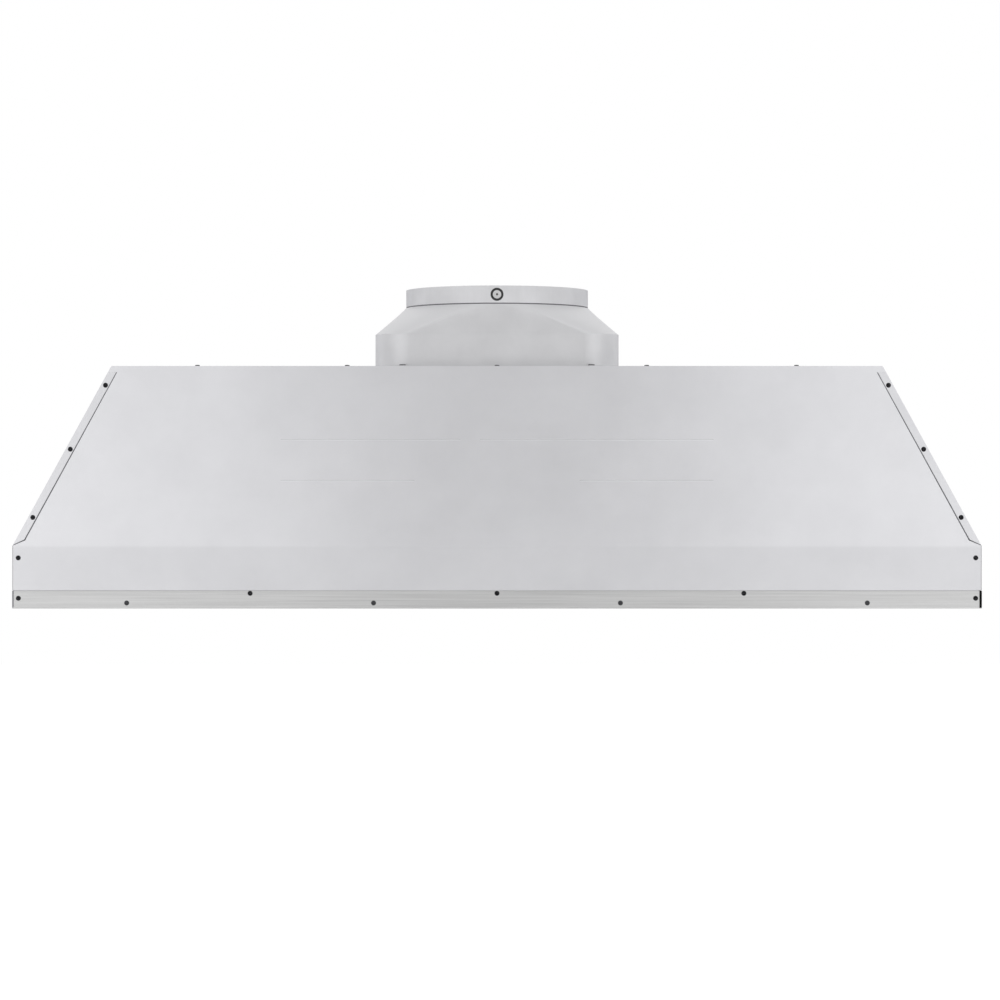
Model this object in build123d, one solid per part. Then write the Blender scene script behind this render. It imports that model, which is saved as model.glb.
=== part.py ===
from build123d import *

import os
from math import cos, degrees, radians, sin, sqrt

# Wall mount range hood. Millimetres, +Z up, the cook stands on the +Y side.
# Drawn with the wall plane at Y = 0 and the underside of the pan at Z = 0. Every piece is
# moved back by half the overall depth when it is written, so the origin is under the middle.

# Casing
BODY_WIDTH = 1029.0  # over the side panels at the skirt
BODY_DEPTH = 500.0  # wall plane to the front of the rim
BODY_HEIGHT = 258.0  # underside of the pan to the upper face of the top panel
SKIRT_HEIGHT = 68.0  # underside of the pan to the bend where the sides lean in
TOP_WIDTH = 820.0  # top panel, left to right
TOP_DEPTH = 310.0  # top panel, wall plane to front edge
SHEET = 1.0  # casing and pan sheet
PAST = 1.0  # cutting shapes carried past a face
SEAM_FLANGE = 12.0  # flanges that the top panel lies on
FLANGE_GAP = 1.0  # between the ends of two flanges
LAP_WIDTH = 7.8  # side panel flange that lies in the back panel's joggle
LAP_GROOVE = 0.9  # open line between that flange and the back panel
LAP_TOP_DROP = 7.0  # top face down to that flange's upper end
LAP_TOP_GAP = 0.15  # between that end and the back panel
LAP_CUT = 5.5  # height of the slanting cut at that flange's lower end
JOGGLE_OVERLAP = 2.0  # joggled margin carried on behind the back panel's face
SKIRT_TAB = 13.0  # side panel tabs behind the back panel
HEM = 0.6  # bevel along the back panel's lower edge

# Stiffener behind the back panel, and the two shallow lines it leaves on the face
STIFFENER_WIDTH = 460.0
STIFFENER_DROP = 78.6  # top face down to its upper line
STIFFENER_HEIGHT = 43.4
STIFFENER_DEPTH = 15.0
STIFFENER_LEDGE = 10.0  # its flanges against the back panel
LINE_WIDTH = 1.6
LINE_DEPTH = 0.1
LINE_BREAKS = ((-39.0, -18.0), (-88.0, 88.0))  # unmarked part of the upper and of the lower line

# Bottom pan
RIM_HEIGHT = 19.0  # brushed band round the outside
RIM_LAP = 12.0  # rear rim carried up behind the back panel
PAN_BACK = 45.0  # wall plane to the filter opening
PAN_SIDE = 55.5  # skirt face to the filter opening
PAN_FRONT = 95.0  # filter opening to the front of the rim
UPSTAND = 50.0  # wall round the filter opening, from the underside

# Screws
SHANK = 2.9  # thread diameter
FLUSH_HEAD = 5.2  # countersunk head diameter
PAN_HEAD = 5.2  # pan head diameter
PAN_RISE = 1.4  # pan head height
PAN_ROUND = 0.9  # rounded edge of a pan head
BIG_HEAD = 7.2  # pan heads on the transition
SCREW_LENGTH = 8.0
SCREW_PLAY = 0.08  # room round a screw in its hole
RECESS_WIDTH = 0.8  # arms of the cross recess
RECESS_SPAN = 0.55  # length of its arms, as a share of the head
RECESS_DEPTH = 0.6
BAND_PITCH = 262.5  # spacing of each row of screws in the band
BAND_UPPER_DROP = 2.7  # top of the band down to the upper row
BAND_LOWER_RISE = 6.0  # underside up to the lower row
CORNER_INSET = 5.6  # skirt face in to the end screws
CORNER_LOW = 11.0  # height of the lower end screws
CORNER_DROP = 14.0  # skirt bend down to the upper end screws
LAP_SCREW_INSET = 4.5  # sloping edge in to the lap screws
LAP_SCREW_DROP = 20.5  # top face down to the highest lap screw
LAP_SCREW_RISE = 29.0  # skirt bend up to the lowest lap screw
LAP_SCREW_SHARE = 0.516  # place of the middle lap screw between the other two
TOP_PITCH = 159.5  # spacing of the top screws
TOP_SCREW_SETBACK = 7.2  # wall plane to the rear row of them
SIDE_TOP_SHARES = (0.3, 0.7)  # places of the side ones along the top panel's depth

# Duct transition, collar and damper
DUCT_DIAMETER = 200.0  # outside of the collar
COLLAR_RISE = 19.7  # collar above the neck
COLLAR_TUCK = 6.0  # collar inside the neck
COLLAR_SHEET = 1.0
COLLAR_STEP = 0.8  # tucked part drawn in from the collar
COLLAR_SEAM = 1.3  # open line between the neck and the collar
TRANSITION_WIDTH = 263.0
TRANSITION_MARGIN = 2.0  # base depth beyond the collar, each side
TRANSITION_SETBACK = 28.0  # wall plane to the base
TRANSITION_RISE = 67.8  # top panel to the neck
TRANSITION_WALL = 35.8  # upright part of the base
TRANSITION_CORNER = 37.0  # corner radius of the base
TRANSITION_SHEET = 1.2
NECK_PLAY = 0.1  # tucked part of the collar in the neck
FACET_ANGLE = 13.0  # half-angle of the neck that each flat side runs into
TAB_DEPTH = 14.0  # fixing tabs of the base
TAB_SCREW_SPREAD = 101.0  # screws of the front and rear tabs, from the middle
SIDE_TAB_SCREW_SPREAD = 50.0
TAB_END = 11.0  # tab beyond its screws
AXLE_RISE = 10.2  # neck to the damper axle
AXLE_DIAMETER = 6.0
AXLE_HEAD = 9.0
AXLE_HEAD_LENGTH = 14.0
AXLE_DIMPLE = 2.4
AXLE_DIMPLE_DEPTH = 1.7
BUSH_DIAMETER = 13.9
BUSH_LENGTH = 12.0
FLAP_SHEET = 0.8
FLAP_MARGIN = 2.5  # flap edge to the inside of the collar
KNUCKLE_WALL = 1.3
KNUCKLE_LENGTH = 40.0
KNUCKLE_GAP = 1.0
FLAP_NOTCH = 8.6  # half-width of the cut-outs round the bushes
FLAP_ROOT_GAP = 0.6  # flap edge to the knuckles of the other flap
NOTCH_GAP = 1.5  # cut-out past the end of the axle's head
SEAL_WIDTH = 8.0
SEAL_HEIGHT = 9.0
SEAL_GAP = 0.3  # closed flaps to the seal
SEAL_NOTCH_GAP = 0.6  # bushes to the seal
RUN_PLAY = 0.1  # radial play of turning parts

# Blower
SCROLL_WIDTH = 228.0  # inside, between the plates
SHAFT_DROP = 96.0  # top face down to the shaft
SHAFT_SETBACK = 189.0  # wall plane to the shaft
SCROLL_RADIUS = 84.0  # first quarter of the spiral
SCROLL_GROWTH = 12.0  # radius added at each quarter
INLET_DIAMETER = 118.0
INLET_LIP = 6.0
SCROLL_FLANGE = 12.0
SCROLL_SCREW_INSET = 20.0
IMPELLER_DIAMETER = 140.0
IMPELLER_WIDTH = 200.0
BLADE_COUNT = 36
BLADE_DEPTH = 13.0
BLADE_SWEEP = 11.0  # degrees that a blade leans forward
BLADE_BELLY = 0.38  # share of that lean at mid-depth
BLADE_SHEET = 0.9
HOOP_WIDTH = 5.2  # end rings of the wheel
HUB_DIAMETER = 28.0
HUB_WIDTH = 30.0
SHAFT_DIAMETER = 8.0
SHAFT_FIT = 0.02  # radial room of the shaft in the hub
MOTOR_DIAMETER = 88.0
MOTOR_LENGTH = 90.0
MOTOR_ROUND = 7.3
MOTOR_BAND = 15.0  # raised band round the motor's waist
MOTOR_BAND_RISE = 2.0
SHAFT_SEAT = 22.5  # shaft inside the motor
MOTOR_GAP = 25.0  # scroll plate to the motor spider
SPIDER_SHEET = 2.0
SPIDER_ARM = 16.0
SPIDER_REACH = 70.0
SPIDER_FOOT = 12.0
SPIDER_ANGLES = (30, 150, 270)
CAPACITOR_DIAMETER = 32.0
CAPACITOR_LENGTH = 55.0
CAPACITOR_ROUND = 2.7
CAPACITOR_SETBACK = 100.0
CAPACITOR_DROP = 36.0

# Filters
FILTER_NAMES = ("left_filter", "centre_filter", "right_filter")
FILTER_RISE = 26.0  # underside of the pan to the underside of the filters
FILTER_THICK = 16.0
FILTER_GAP = 3.0  # round each filter
FILTER_SHEET = 0.8
FILTER_BAR = 18.0  # width of the frame
ROD_DIAMETER = 5.0
ROD_RISE = 4.0  # underside of the filters to the hinge rod
ROD_OFFSET = 6.5  # opening's rear edge to the hinge rod
HOOK_WALL = 1.8
HOOK_WIDTH = 14.0
HOOK_SPREAD = 96.0  # hooks from the middle of a filter
HOOK_REACH = 5.2  # hinge rod to the frame
EAR_SHEET = 2.0
VANE_WIDTH = 26.0
VANE_PITCH = 36.0
VANE_HEIGHT = 8.6
BAIL_WIDTH = 80.0
BAIL_DROP = 16.0
BAIL_WIRE = 4.0
BAIL_BEND = 5.0
BAIL_EAR_OFFSET = 3.0  # bend of the bail to the middle of its ear
BAIL_TIP = 6.0  # bend of the bail to its end
BAIL_INSET = 34.0  # front edge of the filter to the bail
BAIL_HANG = 4.0  # underside of the filter to the bail's pivot
MAGNET_LENGTH = 20.0
MAGNET_WIDTH = 8.0
MAGNET_GAP = 0.3
MAGNET_SPREAD = 90.0

# Lamps
LAMP_SPREAD = 300.0  # lamps from the middle
LAMP_HOLE = 58.0
LAMP_LENS = 50.0
LAMP_FLANGE = 70.0
LAMP_BODY = 62.0
LAMP_HEIGHT = 28.0
LAMP_FLANGE_SHEET = 1.2
LAMP_FIN_HEIGHT = 8.0
LAMP_FIN_PITCH = 8.0
LAMP_SLOT = 3.0  # between two fins
LAMP_RECESS = 0.4  # lens and bezel up from the underside
LAMP_PLAY = 0.2  # bezel in its hole and in the lamp's body
LAMP_BARREL = 3.0  # bezel above its flange
LAMP_LEDGE = 2.0  # width of the ledge that the lens lies on
LAMP_LEDGE_SHEET = 1.0
LENS_SHEET = 2.0
LENS_PLAY = 0.1

# Controls
BUTTON_NAMES = ("power_button", "low_button", "medium_button", "high_button", "lamp_button")
BUTTON_DIAMETER = 15.0
BUTTON_PITCH = 30.0
BUTTON_LIFT = 25.0  # rim up to the row of buttons
BUTTON_RISE = 3.0  # button proud of the skirt
BUTTON_TRAVEL = 2.0
BUTTON_FLANGE = 19.0
BUTTON_FLANGE_SHEET = 2.0
BUTTON_ROUND = 0.9
BUTTON_REST = 0.3  # pressed button to its plunger
SWITCH_BOX_WIDTH = 190.0
SWITCH_BOX_DEPTH = 28.0
SWITCH_BOX_HEIGHT = 36.0
SWITCH_BOX_WALL = 2.0
BOARD_SHEET = 1.6
BOARD_SETBACK = 12.0  # rear of the box to the board
BOARD_POST = 6.0
BOARD_POST_INSET = 10.0
BOARD_PLAY = 1.0  # board and posts to the walls of the box
SWITCH_SIDE = 12.0
SWITCH_HEIGHT = 4.4
PLUNGER_DIAMETER = 6.0
PLUNGER_LENGTH = 2.0

# Junction box and cables
JUNCTION_X = 270.0
JUNCTION_SETBACK = 90.0
JUNCTION_WIDTH = 110.0
JUNCTION_DEPTH = 80.0
JUNCTION_HEIGHT = 45.0
JUNCTION_SCREW_INSET = 15.0
COVER_PLAY = 0.3
COVER_LIP = 6.0
BUSH_HOLE = 22.0
BUSH_BORE = 16.0
BUSH_RIM = 30.0
BUSH_RIM_SHEET = 2.5
BUSH_BARREL = 11.0
CABLE_DIAMETER = 7.0
CABLE_BEND = 38.0
MOTOR_CABLE_INSET = 72.0  # motor's face to its cable
MOTOR_CABLE_OFFSET = 27.5  # end of the junction box to the motor cable
SWITCH_CABLE_OFFSET = 77.0  # end of the junction box to the switch cable
SWITCH_CABLE_RISE = 20.0  # underside of the junction box to the switch cable
SWITCH_CABLE_SETBACK = 14.0  # skirt to the switch cable
SLOPE_BEND = 80.0  # switch cable where it turns down behind the front
SKIRT_BEND = 50.0  # switch cable where it turns along the skirt
LAMP_CABLE_DIAMETER = 5.0
LAMP_CABLE_BEND = 60.0
LAMP_LEAD = 55.0  # straight part of a lamp cable at the switch box
LAMP_TAIL = 54.0  # straight part of a lamp cable at the lamp
LAMP_SOCKET = 8.0  # depth of the cable's socket in the lamp
LAMP_SOCKET_Z = 13.0  # height of that socket
CLIP_WIDTH = 10.0
CLIP_WALL = 3.0

# Holes for hanging the body from above
FIXING_HOLE = 7.0
FIXING_SPREAD = 700.0  # left to right
FIXING_DEPTH = 190.0  # back to front
FIXING_SETBACK = 60.0  # wall plane to the rear pair

# Derived places
HALF = BODY_WIDTH / 2
SKIRT_FRONT = BODY_DEPTH - SHEET
UNDER_TOP = BODY_HEIGHT - SHEET
SIDE_LEAN = (BODY_WIDTH - TOP_WIDTH) / 2 / (BODY_HEIGHT - SKIRT_HEIGHT)
SIDE_SLANT = sqrt(1 + SIDE_LEAN**2)
FRONT_LEAN = (SKIRT_FRONT - TOP_DEPTH) / (BODY_HEIGHT - SKIRT_HEIGHT)
FRONT_SLANT = sqrt(1 + FRONT_LEAN**2)
LAP_TOP = BODY_HEIGHT - LAP_TOP_DROP
OPEN_X = HALF - PAN_SIDE
OPEN_FRONT = BODY_DEPTH - PAN_FRONT
DUCT_RADIUS = DUCT_DIAMETER / 2
BASE_DEPTH = DUCT_DIAMETER + 2 * TRANSITION_MARGIN
DUCT_Y = TRANSITION_SETBACK + BASE_DEPTH / 2
NECK_Z = BODY_HEIGHT + TRANSITION_RISE
AXLE_Z = NECK_Z + AXLE_RISE
SHAFT_Z = BODY_HEIGHT - SHAFT_DROP
PLATE_X = SCROLL_WIDTH / 2 + SHEET
SPIDER_X = PLATE_X + MOTOR_GAP
ROD_Y = PAN_BACK + ROD_OFFSET
ROD_Z = FILTER_RISE + ROD_RISE
FILTER_TOP = FILTER_RISE + FILTER_THICK
FILTER_WIDTH = (2 * OPEN_X - FILTER_GAP * (len(FILTER_NAMES) + 1)) / len(FILTER_NAMES)
FILTER_BACK = ROD_Y + HOOK_REACH
FILTER_FRONT = OPEN_FRONT - FILTER_GAP
FILTER_XS = [(i - 1) * (FILTER_WIDTH + FILTER_GAP) for i in range(len(FILTER_NAMES))]
LAMP_Y = (OPEN_FRONT + SKIRT_FRONT) / 2
BUTTON_Z = RIM_HEIGHT + BUTTON_LIFT
BUTTON_XS = [(i - 2) * BUTTON_PITCH for i in range(len(BUTTON_NAMES))]
SKIRT_INNER = SKIRT_FRONT - SHEET
SWITCH_BACK = SKIRT_INNER - SWITCH_BOX_DEPTH
SWITCH_FRONT = SWITCH_BACK + BOARD_SETBACK + BOARD_SHEET + SWITCH_HEIGHT + PLUNGER_LENGTH
BUTTON_BACK = SWITCH_FRONT + BUTTON_REST + BUTTON_TRAVEL
BUTTON_FRONT = SKIRT_FRONT + BUTTON_RISE
OVERALL_DEPTH = BUTTON_FRONT


def side_x(z, inset=0.0):
    """Half-width of the sloping side at a height, moved in square to the slope."""
    return HALF - (z - SKIRT_HEIGHT) * SIDE_LEAN - inset * SIDE_SLANT


def front_y(z, inset=0.0):
    """Depth of the sloping front at a height, moved in square to the slope."""
    return SKIRT_FRONT - (z - SKIRT_HEIGHT) * FRONT_LEAN - inset * FRONT_SLANT


FLANGE_X = side_x(UNDER_TOP) - SEAM_FLANGE
FLANGE_FRONT = front_y(UNDER_TOP) - SEAM_FLANGE


def prism(points, sweep):
    """A flat outline of 3-D points pushed along a vector."""
    outline = Wire.make_polygon([Vector(*p) for p in points], close=True)
    return Solid.extrude(Face(outline), Vector(*sweep))


def along_y(points, low, high):
    """An outline of (x, z) points between two depths."""
    return prism([(x, low, z) for x, z in points], (0, high - low, 0))


def along_x(points, low, high):
    """An outline of (y, z) points between two sides."""
    return prism([(low, y, z) for y, z in points], (high - low, 0, 0))


def block(x, y, z):
    """A box from its limits along the three axes."""
    corner = Plane(origin=(x[0], y[0], z[0]))
    return Solid.make_box(x[1] - x[0], y[1] - y[0], z[1] - z[0], corner)


def rod(start, direction, length, diameter):
    """A round bar from a point along a direction."""
    return Solid.make_cylinder(diameter / 2, length, Plane(origin=start, z_dir=direction))


def tube(start, direction, length, outer, inner):
    """A round pipe from a point along a direction."""
    return rod(start, direction, length, outer) - rod(start, direction, length, inner)


def join(pieces):
    """One body out of touching pieces."""
    return Part() + list(pieces)


def both_sides(shape):
    """A shape and its mirror image across the middle of the hood."""
    return [shape, mirror(shape, about=Plane.YZ)]


def at(seat, facing, shape):
    """A shape drawn on the ground, set on a seat and turned to face a direction."""
    return Plane(origin=seat, z_dir=facing) * shape


def cross_recess(head, top):
    """Cross slot in the face of a screw head."""
    arm = Pos(0, 0, top - RECESS_DEPTH / 2) * Box(head * RECESS_SPAN, RECESS_WIDTH, RECESS_DEPTH)
    return arm + Rot(0, 0, 90) * arm


def flush_screw():
    """Countersunk screw whose head ends level with its seat."""
    depth = (FLUSH_HEAD - SHANK) / 2
    head = Solid.make_cone(SHANK / 2, FLUSH_HEAD / 2, depth, Plane(origin=(0, 0, -depth)))
    stem = rod((0, 0, -SCREW_LENGTH), (0, 0, 1), SCREW_LENGTH - depth, SHANK)
    return join([head, stem]) - cross_recess(FLUSH_HEAD, 0)


def flush_hole():
    """Countersunk hole for that screw."""
    depth = (FLUSH_HEAD - SHANK) / 2
    wide = FLUSH_HEAD / 2 + SCREW_PLAY
    narrow = SHANK / 2 + SCREW_PLAY
    head = Solid.make_cone(narrow, wide, depth, Plane(origin=(0, 0, -depth)))
    return join([head, rod((0, 0, -SCREW_LENGTH), (0, 0, 1), SCREW_LENGTH, 2 * narrow)])


def pan_screw(head):
    """Pan head screw that stands on its seat."""
    crown = rod((0, 0, 0), (0, 0, 1), PAN_RISE, head)
    crown = fillet(crown.edges().group_by(Axis.Z)[-1], PAN_ROUND)
    stem = rod((0, 0, -SCREW_LENGTH), (0, 0, 1), SCREW_LENGTH, SHANK)
    return join([crown, stem]) - cross_recess(head, PAN_RISE)


def pan_hole():
    """Plain hole for a pan head screw."""
    return rod((0, 0, -SCREW_LENGTH), (0, 0, 1), SCREW_LENGTH + PAN_RISE, SHANK + 2 * SCREW_PLAY)


def spread(shape, seats, facing):
    """Copies of a shape on every seat."""
    return [at(seat, facing, shape) for seat in seats]


# Screw seats
BACK = (0, -1, 0)
UP = (0, 0, 1)
LAP_LOW = SKIRT_HEIGHT + LAP_SCREW_RISE
LAP_HIGH = BODY_HEIGHT - LAP_SCREW_DROP
LAP_HEIGHTS = (LAP_LOW, LAP_LOW + (LAP_HIGH - LAP_LOW) * LAP_SCREW_SHARE, LAP_HIGH)
LAP_SEATS = [(s * side_x(z, LAP_SCREW_INSET), 0, z) for s in (-1, 1) for z in LAP_HEIGHTS]
CORNER_X = HALF - CORNER_INSET
HIGH_CORNER_SEATS = [(s * CORNER_X, 0, SKIRT_HEIGHT - CORNER_DROP) for s in (-1, 1)]
LOW_CORNER_SEATS = [(s * CORNER_X, SHEET, CORNER_LOW) for s in (-1, 1)]
UPPER_BAND_SEATS = [(i * BAND_PITCH, SHEET, RIM_HEIGHT - BAND_UPPER_DROP) for i in (-1, 0, 1)]
LOWER_BAND_SEATS = [(i * BAND_PITCH, SHEET, BAND_LOWER_RISE) for i in (-1.5, -0.5, 0.5, 1.5)]
REAR_TOP_SEATS = [(i * TOP_PITCH, TOP_SCREW_SETBACK, BODY_HEIGHT) for i in range(-2, 3)]
FRONT_TOP_SEATS = [(i * TOP_PITCH, FLANGE_FRONT + SEAM_FLANGE / 2, BODY_HEIGHT) for i in range(-2, 3)]
SIDE_TOP_SEATS = [
    (s * (FLANGE_X + SEAM_FLANGE / 2), TOP_DEPTH * share, BODY_HEIGHT)
    for s in (-1, 1)
    for share in SIDE_TOP_SHARES
]
JUNCTION_REACH = JUNCTION_WIDTH / 2 - JUNCTION_SCREW_INSET
JUNCTION_SEATS = [(JUNCTION_X + s * JUNCTION_REACH, JUNCTION_SETBACK, BODY_HEIGHT) for s in (-1, 1)]
TAB_Z = BODY_HEIGHT + TRANSITION_SHEET
END_TAB_Y = BASE_DEPTH / 2 + TAB_DEPTH / 2
SIDE_TAB_X = TRANSITION_WIDTH / 2 + TAB_DEPTH / 2
TAB_SEATS = [(i * TAB_SCREW_SPREAD, DUCT_Y + j * END_TAB_Y, TAB_Z) for i in (-1, 1) for j in (-1, 1)]
TAB_SEATS += [
    (i * SIDE_TAB_X, DUCT_Y + j * SIDE_TAB_SCREW_SPREAD, TAB_Z) for i in (-1, 1) for j in (-1, 1)
]


def casing():
    """Back, side, front and top panels, and the stiffener."""
    top_z = (UNDER_TOP - SHEET, UNDER_TOP)
    groove = LAP_WIDTH + LAP_GROOVE
    lap_low = SKIRT_HEIGHT + LAP_CUT

    # Back panel: face, joggled margins behind the laps, top flange
    right_edge = [
        (HALF, RIM_HEIGHT),
        (HALF, SKIRT_HEIGHT - LAP_GROOVE),
        (side_x(lap_low, groove), lap_low - LAP_GROOVE),
        (side_x(LAP_TOP + LAP_TOP_GAP, groove), LAP_TOP + LAP_TOP_GAP),
        (side_x(LAP_TOP + LAP_TOP_GAP), LAP_TOP + LAP_TOP_GAP),
        (side_x(UNDER_TOP), UNDER_TOP),
    ]
    left_edge = [(-x, z) for x, z in reversed(right_edge)]
    face = along_y(right_edge + left_edge, 0, SHEET)
    margin_low = lap_low + LAP_GROOVE
    margin_high = LAP_TOP - LAP_GROOVE
    margin = [
        (side_x(margin_low, SHEET), margin_low),
        (side_x(margin_high, SHEET), margin_high),
        (side_x(margin_high, groove + JOGGLE_OVERLAP), margin_high),
        (side_x(margin_low, groove + JOGGLE_OVERLAP), margin_low),
    ]
    flange = block((FLANGE_GAP - FLANGE_X, FLANGE_X - FLANGE_GAP), (0, SEAM_FLANGE), top_z)
    back = join([face, flange] + both_sides(along_y(margin, SHEET, 2 * SHEET)))
    hem = [(0, RIM_HEIGHT), (HEM, RIM_HEIGHT), (0, RIM_HEIGHT + HEM)]
    cuts = [along_x(hem, -HALF, HALF)]
    upper_line = BODY_HEIGHT - STIFFENER_DROP
    for z, (stop, start) in zip((upper_line, upper_line - STIFFENER_HEIGHT), LINE_BREAKS):
        line = [(0, z - LINE_WIDTH / 2), (LINE_DEPTH, z), (0, z + LINE_WIDTH / 2)]
        cuts.append(along_x(line, -STIFFENER_WIDTH / 2, stop))
        cuts.append(along_x(line, start, STIFFENER_WIDTH / 2))
    cuts += spread(flush_hole(), LAP_SEATS + HIGH_CORNER_SEATS, BACK)
    cuts += spread(pan_hole(), REAR_TOP_SEATS, UP)
    nodes["back_panel"] = back - cuts

    # Side panel: skirt, slope, top flange, lap over the back panel, tabs behind it
    over = BODY_HEIGHT + 4 * SHEET
    inner_bend = SKIRT_HEIGHT + SHEET * (1 - SIDE_SLANT) / SIDE_LEAN
    profile = [
        (HALF, SHEET),
        (HALF, SKIRT_HEIGHT),
        (side_x(over), over),
        (side_x(over, SHEET), over),
        (HALF - SHEET, inner_bend),
        (HALF - SHEET, SHEET),
    ]
    front_bend = SKIRT_HEIGHT + SHEET * (1 - FRONT_SLANT) / FRONT_LEAN
    behind_front = [
        (0, 0),
        (SKIRT_INNER, 0),
        (SKIRT_INNER, front_bend),
        (front_y(over, SHEET), over),
        (0, over),
    ]
    room = along_x(behind_front, 0, HALF) & block((0, HALF), (0, BODY_DEPTH), (0, UNDER_TOP))
    wall = along_y(profile, SHEET, BODY_DEPTH) & room
    lap = [
        (side_x(SKIRT_HEIGHT), SKIRT_HEIGHT),
        (side_x(LAP_TOP), LAP_TOP),
        (side_x(LAP_TOP, LAP_WIDTH), LAP_TOP),
        (side_x(lap_low, LAP_WIDTH), lap_low),
    ]
    flange_y = (SEAM_FLANGE + FLANGE_GAP, FLANGE_FRONT - FLANGE_GAP)
    flange = block((FLANGE_X, side_x(UNDER_TOP, SHEET / 2)), flange_y, top_z)
    tab_x = (HALF - SHEET - SKIRT_TAB, HALF - SHEET / 2)
    rim_top = RIM_HEIGHT + RIM_LAP
    high_tab = block(tab_x, (SHEET, 2 * SHEET), (rim_top + SHEET, SKIRT_HEIGHT - 4 * SHEET))
    low_tab = block(tab_x, (2 * SHEET, 3 * SHEET), (2 * SHEET, rim_top - SHEET))
    side = join([wall, along_y(lap, 0, SHEET), flange, high_tab, low_tab])
    cuts = spread(flush_hole(), LAP_SEATS[3:] + HIGH_CORNER_SEATS[1:] + LOW_CORNER_SEATS[1:], BACK)
    cuts += spread(pan_hole(), SIDE_TOP_SEATS[2:], UP)
    side = side - cuts
    nodes["right_side_panel"] = side
    nodes["left_side_panel"] = mirror(side, about=Plane.YZ)

    # Front panel: skirt with the button holes, slope, top flange
    profile = [
        (SKIRT_FRONT, SHEET),
        (SKIRT_FRONT, SKIRT_HEIGHT),
        (front_y(over), over),
        (front_y(over, SHEET), over),
        (SKIRT_INNER, front_bend),
        (SKIRT_INNER, SHEET),
    ]
    half_outline = [(HALF, SHEET), (HALF, SKIRT_HEIGHT), (side_x(UNDER_TOP), UNDER_TOP)]
    outline = half_outline + [(-x, z) for x, z in reversed(half_outline)]
    wall = along_x(profile, -HALF, HALF) & along_y(outline, 0, BODY_DEPTH)
    flange_y = (FLANGE_FRONT, front_y(UNDER_TOP, SHEET / 2))
    flange = block((FLANGE_GAP - FLANGE_X, FLANGE_X - FLANGE_GAP), flange_y, top_z)
    hole = BUTTON_DIAMETER + 2 * RUN_PLAY
    cuts = [rod((x, SKIRT_INNER - SHEET, BUTTON_Z), (0, 1, 0), 3 * SHEET, hole) for x in BUTTON_XS]
    cuts += spread(pan_hole(), FRONT_TOP_SEATS, UP)
    nodes["front_panel"] = join([wall, flange]) - cuts

    # Top panel: blower outlet, cable hole, fixing holes
    sheet = block((-TOP_WIDTH / 2, TOP_WIDTH / 2), (0, TOP_DEPTH), (UNDER_TOP, BODY_HEIGHT))
    outlet_y = (scroll_points()["back"], scroll_points()["tongue"])
    cut_z = (UNDER_TOP - PAST, BODY_HEIGHT + PAST)
    cut_height = SHEET + 2 * PAST
    cuts = [block((-SCROLL_WIDTH / 2, SCROLL_WIDTH / 2), outlet_y, cut_z)]
    cuts.append(rod((JUNCTION_X, JUNCTION_SETBACK, cut_z[0]), UP, cut_height, BUSH_HOLE))
    for x in (-FIXING_SPREAD / 2, FIXING_SPREAD / 2):
        for y in (FIXING_SETBACK, FIXING_SETBACK + FIXING_DEPTH):
            cuts.append(rod((x, y, cut_z[0]), UP, cut_height, FIXING_HOLE))
    seats = REAR_TOP_SEATS + FRONT_TOP_SEATS + SIDE_TOP_SEATS + JUNCTION_SEATS + scroll_seats()
    cuts += spread(pan_hole(), seats + TAB_SEATS, UP)
    nodes["top_panel"] = sheet - cuts

    # Hat-shaped stiffener against the inside of the back panel
    low = upper_line - STIFFENER_HEIGHT
    near = SHEET
    far = SHEET + STIFFENER_DEPTH
    hat = [
        (near, low),
        (near + SHEET, low),
        (near + SHEET, low + STIFFENER_LEDGE - SHEET),
        (far, low + STIFFENER_LEDGE - SHEET),
        (far, upper_line - STIFFENER_LEDGE + SHEET),
        (near + SHEET, upper_line - STIFFENER_LEDGE + SHEET),
        (near + SHEET, upper_line),
        (near, upper_line),
        (near, upper_line - STIFFENER_LEDGE),
        (far - SHEET, upper_line - STIFFENER_LEDGE),
        (far - SHEET, low + STIFFENER_LEDGE),
        (near, low + STIFFENER_LEDGE),
    ]
    nodes["back_stiffener"] = along_x(hat, -STIFFENER_WIDTH / 2, STIFFENER_WIDTH / 2)


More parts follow.
